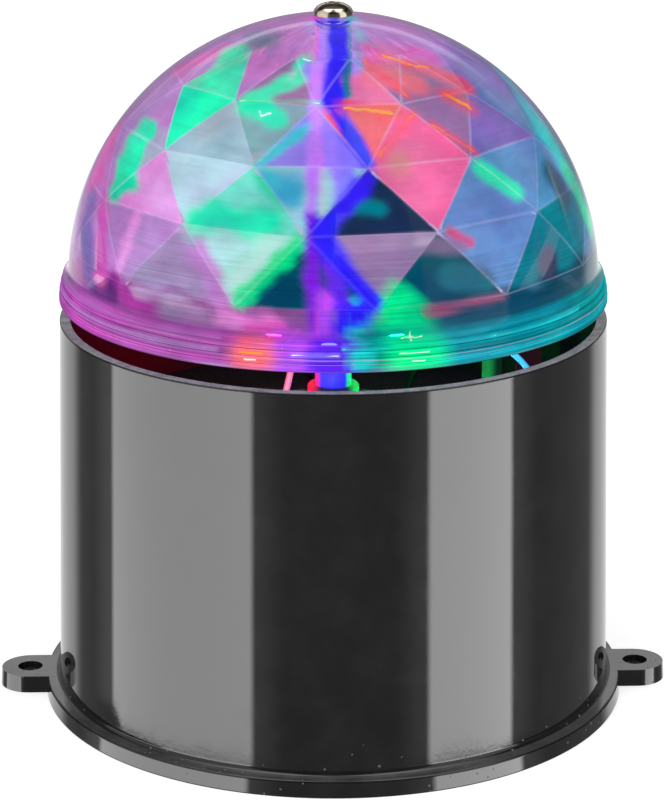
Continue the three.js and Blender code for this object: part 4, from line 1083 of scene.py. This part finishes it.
def post_plastic():
    """The spindle: milky plastic with the lamps' colours painted on as a glow, pink and lilac on one side,
    blue in the middle and teal or green on the other, with a faint turned grain.
    """
    g = material("post_plastic")
    x, _, z = g.axes(g.place())[:3]
    radius = (spindle_high.x - spindle_low.x) / 2 * MM
    side = g.math("DIVIDE", x, radius)
    left = g.between(side, -0.55, -0.1, 1, 0)
    rim = g.between(side, -0.9, -0.65, 1, 0)
    right = g.between(side, 0.6, 0.8)
    low = g.between(z, 70 * MM, 74 * MM, 1, 0)
    grain = g.streaked((300, 300, 2600), 2.0)
    slow = g.streaked((90, 90, 120), 2.0)
    blue = g.mix(g.between(slow, 0.3, 0.7), "1c1cff", "5a48ff")
    blue = g.mix(g.between(z, 95 * MM, 103 * MM), blue, "3026e6")
    colour = g.mix(g.times(left, g.math("SUBTRACT", 1, low)), blue, "b47cff")
    colour = g.mix(rim, colour, g.mix(low, "ee58d4", "ea1a78"))
    return g.principled({
        "Base Color": (0.04, 0.04, 0.12),
        "Roughness": 0.22,
        "Emission Color": g.mix(right, colour, g.mix(low, "0c7f96", "16d85c")),
        "Emission Strength": g.between(grain, 0.3, 0.7, 0.95, 1.2),
        "Normal": g.bump(grain, 0.2, 0.02 * MM),
    })


def collar_nylon():
    """The collar round the post: dark, with red lamp light painted on one side and green on the other."""
    g = material("collar_nylon")
    place = g.place()
    fine = g.noise(place, 900.0)
    side = g.math("DIVIDE", g.axes(place)[0], bush_high.x * MM)
    red = g.between(side, -0.85, -0.5, 0.9, 0)
    green = g.between(side, 0.5, 0.85, 0, 0.8)
    return g.principled({
        "Base Color": (0.02, 0.02, 0.03),
        "Roughness": g.between(fine, 0.3, 0.7, 0.35, 0.5),
        "Specular IOR Level": 0.2,
        "Emission Color": g.mix(g.between(side, -0.1, 0.1), "ff1038", "10e850"),
        "Emission Strength": g.plus(red, green),
        "Normal": g.bump(fine, 0.3, 0.02 * MM),
    })


def deck_plastic():
    """The deck's black, with green lamp light painted as a glow down its round post and a little red
    painted on its square one.
    """
    g = material("deck_black")
    place = g.place()
    x, _, z = g.axes(place)[:3]
    cloud = g.noise(place, 90.0, 4.0)
    fine = g.noise(place, 900.0, 3.0, 0.6)
    # Painted lamp light: a green glow down the round post and a little red on the square one
    post = g.times(g.between(z, 50 * MM, 54 * MM), g.between(x, 25 * MM, 26 * MM))
    green = g.mix(g.between(x, 27.8 * MM, 29.6 * MM), "128a42", "052c1e")
    return g.principled({
        "Base Color": g.mix(g.between(cloud, 0.3, 0.7), (0.003, 0.004, 0.004), (0.005, 0.007, 0.007)),
        "Roughness": g.between(fine, 0.25, 0.75, 0.35, 0.5),
        "Specular IOR Level": 0.2,
        "Emission Color": g.mix(g.between(x, 31 * MM, 32 * MM), green, "26060e"),
        "Emission Strength": g.times(post, g.between(fine, 0.3, 0.7, 0.7, 1.0)),
        "Normal": g.bump(fine, 0.35, 0.02 * MM),
    })


def build_spindle():
    """The post, with grooves near its top and a thinner journal below its shoulder."""
    radius, inner = spindle_high.x, spindle_high.x - GROOVE_DEPTH
    top, bottom, shoulder = spindle_high.z, spindle_low.z, deck_low.z
    points = [(0, bottom), (JOURNAL_RADIUS, bottom), (JOURNAL_RADIUS, shoulder), (radius, shoulder)]
    for i in range(GROOVES):
        low = top - GROOVES_LOW + i * GROOVE_STEP
        points += [(radius, low), (inner, low + 0.15), (inner, low + 0.45), (radius, low + 0.6)]
    points += [(radius, top - 0.15), (radius - 0.15, top), (0, top)]
    mesh = smooth(turned_mesh("spindle_post", points, 64), 50)
    new_piece("spindle_post", mesh, "rotor", [post_plastic()], "post_plastic", "spindle")


def build_bush():
    outer, top, bottom = bush_high.x, bush_high.z, bush_low.z
    bore, sleeve, flange = 3.3, 4.2, top - 1.9
    profile = [(bore, bottom), (sleeve, bottom), (sleeve, flange)]
    profile += [(outer, flange), (outer, top), (bore, top)]
    mesh = smooth(turned_mesh("bush_collar", softened(profile, [0, 0, 0, 0.15, 0.5, 0.2]), 64), 50)
    new_piece("bush_collar", mesh, "base", [collar_nylon()], "white_nylon", "upper_bush")


def cross_arm(turn, foot, mouth):
    """One arm of the cross recess, as a block that widens from its foot's height to its mouth's."""
    head = screw_high.x
    forward, aside = cos(turn), sin(turn)
    bm = bmesh.new()
    for v in bmesh.ops.create_cube(bm, size=1.0)["verts"]:
        height, (length, width) = (foot, CROSS_FOOT) if v.co.z < 0 else (mouth, CROSS_MOUTH)
        x, y = v.co.x * head * length, v.co.y * head * width
        v.co = Vector((x * forward - y * aside, x * aside + y * forward, height)) * MM
    return mesh_of(bm, "recess")


def build_screw(finish):
    """A pan head with a cross recess, on a plain shank."""
    base, top = DOME_TOP + 0.02, screw_high.z - SCREW_SINK
    head, tip = screw_high.x, screw_low.z
    rise = top - base - SCREW_SIDE
    profile = [(0, tip), (SHANK_RADIUS, tip + 1.5), (SHANK_RADIUS, base)]
    profile += [(head - 0.15, base), (head, base + 0.12)]
    for i in range(CROWN_PARTS):
        turn = pi / 2 * i / CROWN_PARTS
        profile.append((head * cos(turn) ** 0.9, base + SCREW_SIDE + rise * sin(turn)))
    profile.append((0, base + SCREW_SIDE + rise))
    mesh = turned_mesh("screw_head", profile, 96)
    for turn in (SCREW_TURN, SCREW_TURN + pi / 2):
        mesh = boolean(mesh, cross_arm(turn, top - rise * CROSS_DEPTH, top + 0.5), "DIFFERENCE")
    made = new_piece("screw_head", smooth(mesh, 40), "rotor", [finish], "nickel", "dome_screw")
    bevelled(made, 0.07, 40, 2)


# Finishes


def glowing(name, colour, strength):
    """A lamp's lens, brighter at its crown."""
    g = material(name)
    place = g.place()
    crown = g.between(g.axes(place)[2], 49.5 * MM, 51.4 * MM, 0.4, 1.0)
    fine = g.noise(place, 1500.0, 2.0)
    return g.principled({
        "Base Color": colour,
        "Roughness": 0.15,
        "Emission Color": colour,
        "Emission Strength": g.times(crown, g.between(fine, 0.3, 0.7, strength * 0.85, strength)),
    })


def sleeved(name, colour, edge):
    """Wire insulation with the lamps' light painted on it as a glow, another colour towards its sides, with
    a black sleeve over its end on the lamp board.
    """
    g = material(name)
    place = g.place()
    fine = g.noise(place, 900.0)
    sleeve = g.between(g.axes(place)[1], 3.2 * MM, 3.4 * MM)
    limb = g.add("ShaderNodeLayerWeight", {"Blend": 0.4}).outputs["Facing"]
    shown = g.math("SUBTRACT", 1, sleeve)
    return g.principled({
        "Base Color": g.mix(sleeve, colour, (0.0004, 0.0004, 0.0004)),
        "Roughness": g.between(fine, 0.3, 0.7, 0.5, 0.62),
        "Specular IOR Level": g.times(shown, 0.4),
        "Emission Color": g.mix(g.between(limb, 0.02, 0.3), colour, edge),
        "Emission Strength": g.times(shown, 0.7),
        "Normal": g.bump(g.plus(sleeve, g.times(fine, 0.1)), 0.5, 0.1 * MM),
    })


matt_black = moulded("matt_black", (0.018, 0.018, 0.02), 0.5, 0.25, 1400.0, 0.03)
zinc = brushed("zinc", (0.62, 0.63, 0.65), 0.3)
nickel = brushed("nickel", (0.8, 0.7, 0.56), 0.14, (900, 900, 900))
brass = brushed("brass", (0.75, 0.55, 0.25), 0.28)
nylon = moulded("white_nylon", (0.72, 0.7, 0.66), 0.4, 0.08)
board = moulded("circuit_board", (0.01, 0.05, 0.025), 0.4, 0.3, 600.0, 0.04)
phenolic = moulded("phenolic", (0.09, 0.045, 0.022), 0.6, 0.3, 700.0, 0.04)
chip = moulded("chip_black", (0.02, 0.02, 0.02), 0.45, 0.2)
wrap = moulded("cell_wrap", (0.02, 0.09, 0.3), 0.3, 0.12, 500.0, 0.01)
red_cover = moulded("red_cover", (0.5, 0.02, 0.02), 0.4)
rose_cover = sleeved("rose_cover", (0.9, 0.3, 0.42), "f01060")
sky_cover = sleeved("sky_cover", (0.08, 0.6, 0.9), "1070a8")
black_cover = moulded("black_cover", (0.02, 0.02, 0.02), 0.4)

# The pieces

build_housing()
build_dome()
build_spindle()
build_bush()
build_screw(nickel)

dressed("deck", "base", deck_plastic(), "matt_black", 0.15)
dressed("base_plate", "base", matt_black, "matt_black", 0.2)
dressed("battery_door", "door", matt_black, "matt_black", 0.2)
dressed("led_board", "base", board, "circuit_board", 0.08)
dressed("switch_slider", "slider", matt_black, "matt_black", 0.15)
dressed("switch_frame", "base", zinc, "zinc", 0.05)
dressed("wire_board_plus", "base", sky_cover, "wire_pale")
dressed("wire_battery_minus", "base", rose_cover, "wire_pale")
for i in range(1, 4):
    dressed(f"battery_{i}", "base", wrap, "cell_wrap", 0.1)
    dressed(f"deck_screw_{i}", "base", zinc, "zinc", 0.08)
for i in range(1, 5):
    dressed(f"base_screw_{i}", "base", zinc, "zinc", 0.08)
for hue, code in (("red", "ff2030"), ("green", "10ff60"), ("blue", "2030ff")):
    dressed(f"led_{hue}", "base", glowing(f"lens_{hue}", code, 6.0), f"led_{hue}", 0.05)

# The CAD nodes' own finishes, and zinc for the rest
FINISHES = [
    (red_cover, ["wire_battery_plus", "wire_motor_plus"]),
    (black_cover, ["wire_motor_minus"]),
    (matt_black, ["gear_plate"]),
    (nylon, ["motor_end_cap", "gear_first", "gear_second", "output_gear"]),
    (phenolic, ["switch_body"]),
    (brass, ["motor_pinion", "lower_bush"]),
    (chip, ["resistor_red", "resistor_green", "resistor_blue"]),
]
finish_of = {node: finish for finish, nodes in FINISHES for node in nodes}
for node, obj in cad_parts.items():
    obj.data.materials.clear()
    obj.data.materials.append(finish_of.get(node, zinc))

# Lamps: one over each lens, and two in the studio

LENS_LAMPS = [
    ("led_red", (1, 0.01, 0.12), 0.09),
    ("led_green", (0.01, 1, 0.3), 0.04),
    ("led_blue", (0.05, 0.08, 1), 0.02),
]
for node, colour, power in LENS_LAMPS:
    low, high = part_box(node)
    lamp = bpy.data.lights.new(node + "_lamp", "POINT")
    lamp.color = colour
    lamp.energy = power
    lamp.shadow_soft_size = 1.5 * MM
    made = in_scene(node + "_lamp", lamp)
    made.location = ((low.x + high.x) / 2, (low.y + high.y) / 2, high.z + 2 * MM)
    made.visible_camera = False
    made.visible_glossy = False


def area_lamp(name, place, side, power):
    """A square lamp, in metres, that faces the object's middle."""
    lamp = bpy.data.lights.new(name, "AREA")
    lamp.size = side
    lamp.energy = power
    made = in_scene(name, lamp)
    made.location = place
    made.rotation_euler = (Vector((0, 0, 0.06)) - Vector(place)).to_track_quat("-Z", "Y").to_euler()
    made.visible_glossy = False
    made.visible_transmission = False
    made.visible_camera = False


area_lamp("key", (-0.7, -0.8, 1.2), 0.9, 7.0)
area_lamp("fill", (0.9, -0.5, 0.9), 0.9, 4.0)

# Floor, in metres: white where it is seen, also in gloss or through the dome, and clear from below


def floor_paper():
    g = material("floor_paper")
    path = g.add("ShaderNodeLightPath").outputs
    fibre = g.noise(g.place(), 300.0, 4.0)
    mirrored = g.most(path["Is Glossy Ray"], path["Is Transmission Ray"])
    paper = g.shader("ShaderNodeBsdfPrincipled", {
        "Base Color": g.mix(g.between(fibre, 0.3, 0.7), (0.86, 0.86, 0.86), (0.88, 0.88, 0.88)),
        "Roughness": 0.9,
        "Specular IOR Level": 0.0,
        "Emission Color": (1, 1, 1),
        "Emission Strength": g.times(g.most(path["Is Camera Ray"], mirrored), 0.5),
    })
    under = g.times(path["Is Camera Ray"], g.add("ShaderNodeNewGeometry").outputs["Backfacing"])
    return g.finish(g.blend(under, paper, g.shader("ShaderNodeBsdfTransparent")))


FLOOR_REACH = 8.0
floor_mesh = bpy.data.meshes.new("floor")
ring = [(x * FLOOR_REACH, y * FLOOR_REACH, 0) for x, y in ((-1, -1), (1, -1), (1, 1), (-1, 1))]
floor_mesh.from_pydata(ring, [], [(0, 1, 2, 3)])
floor_mesh.materials.append(floor_paper())
floor = in_scene("floor", floor_mesh)
floor.visible_glossy = False

# World: white where it is seen, plain in the light that it gives, and a pattern in what gloss shows

# Soft boxes: first and last azimuth in degrees, and the level at each
SOFT_BOXES = [(-103.8, -33.2, 3.4, 5.2), (39.4, 78.5, 5.8, 6.2)]
PLAIN_LEVEL = 0.6


def soft_box(g, azimuth, first, last, level_first, level_last):
    """A box's level, with soft edges and a faint skirt on each side."""
    soft, wide = radians(1.6), radians(16)
    low, high = radians(first + PATTERN_TURN), radians(last + PATTERN_TURN)
    rise = g.between(azimuth, low - soft, low + soft)
    fall = g.between(azimuth, high - soft, high + soft, 1, 0)
    level = g.between(azimuth, low, high, level_first, level_last, "LINEAR")
    before = g.between(azimuth, low - wide, low, 0, 0.45)
    after = g.between(azimuth, high, high + wide, 1, 0)
    return g.plus(g.times(level, g.times(rise, fall)), g.times(before, after))


def gloss_pattern(g):
    """What gloss sees round the object, by the azimuth and the elevation of where it looks."""

    def step(value, low, high, to_low=0.0, to_high=1.0):
        return g.between(value, radians(low), radians(high), to_low, to_high)

    x, y, z = g.axes(g.add("ShaderNodeTexCoord").outputs["Generated"])[:3]
    azimuth = g.math("ARCTAN2", x, g.times(y, -1))
    elevation = g.math("ARCSINE", z)
    round_back = g.math("ABSOLUTE", azimuth)

    # The boxes, faint above the heights that the wall reflects, with a sill a little higher at the left
    left, right = [soft_box(g, azimuth, *box) for box in SOFT_BOXES]
    boxes = g.times(g.plus(left, right), step(elevation, -13.5, -11.5, 1, 0.16))
    corner = step(azimuth, -105, -98, radians(0.3), 0)
    boxes = g.times(boxes, step(g.math("SUBTRACT", elevation, corner), -22.1, -21.9))

    # Round the back, brighter below, and a band over it straight behind
    behind = g.times(step(round_back, 130, 142, 0.26, 1.0), step(elevation, -12, -6, 1, 0.3))
    behind = g.times(behind, step(elevation, 26, 33, 1, 0.1))
    band = g.times(step(elevation, 19.5, 22), step(elevation, 24, 28, 1, 0))
    band = g.times(band, step(round_back, 145, 160, 0, 0.8))

    # High up on both sides
    sides = g.times(step(round_back, 20, 34, 0.1, 1), step(round_back, 100, 125, 1, 0.04))
    band = g.plus(band, g.times(step(elevation, 50, 62, 0, 1.7), sides))
    return g.plus(boxes, g.plus(behind, band))


world = bpy.data.worlds.new("studio")
bpy.context.scene.world = world
g = Graph(world)
path = g.add("ShaderNodeLightPath").outputs
seen = g.most(path["Is Camera Ray"], path["Is Transmission Ray"])
mirrored = g.times(path["Is Glossy Ray"], g.math("SUBTRACT", gloss_pattern(g), PLAIN_LEVEL))
level = g.plus(g.times(g.math("SUBTRACT", 1, seen), g.plus(mirrored, PLAIN_LEVEL)), seen)
sky = g.shader("ShaderNodeBackground", {"Color": (1, 1, 1), "Strength": level})
g.finish(sky, "ShaderNodeOutputWorld")

# Camera

lens = bpy.data.cameras.new("camera")
lens.lens = CAMERA_LENS
lens.sensor_width = 36
lens.shift_x, lens.shift_y = CAMERA_SHIFT
lens.clip_start, lens.clip_end = 0.01, 50
camera = in_scene("camera", lens)
turn = radians(CAMERA_TURN)
camera.location = (CAMERA_DISTANCE * sin(turn), -CAMERA_DISTANCE * cos(turn), CAMERA_HEIGHT)
camera.rotation_euler = (radians(90 - CAMERA_PITCH), 0, turn)
bpy.context.scene.camera = camera
bpy.context.scene.view_settings.view_transform = "Standard"
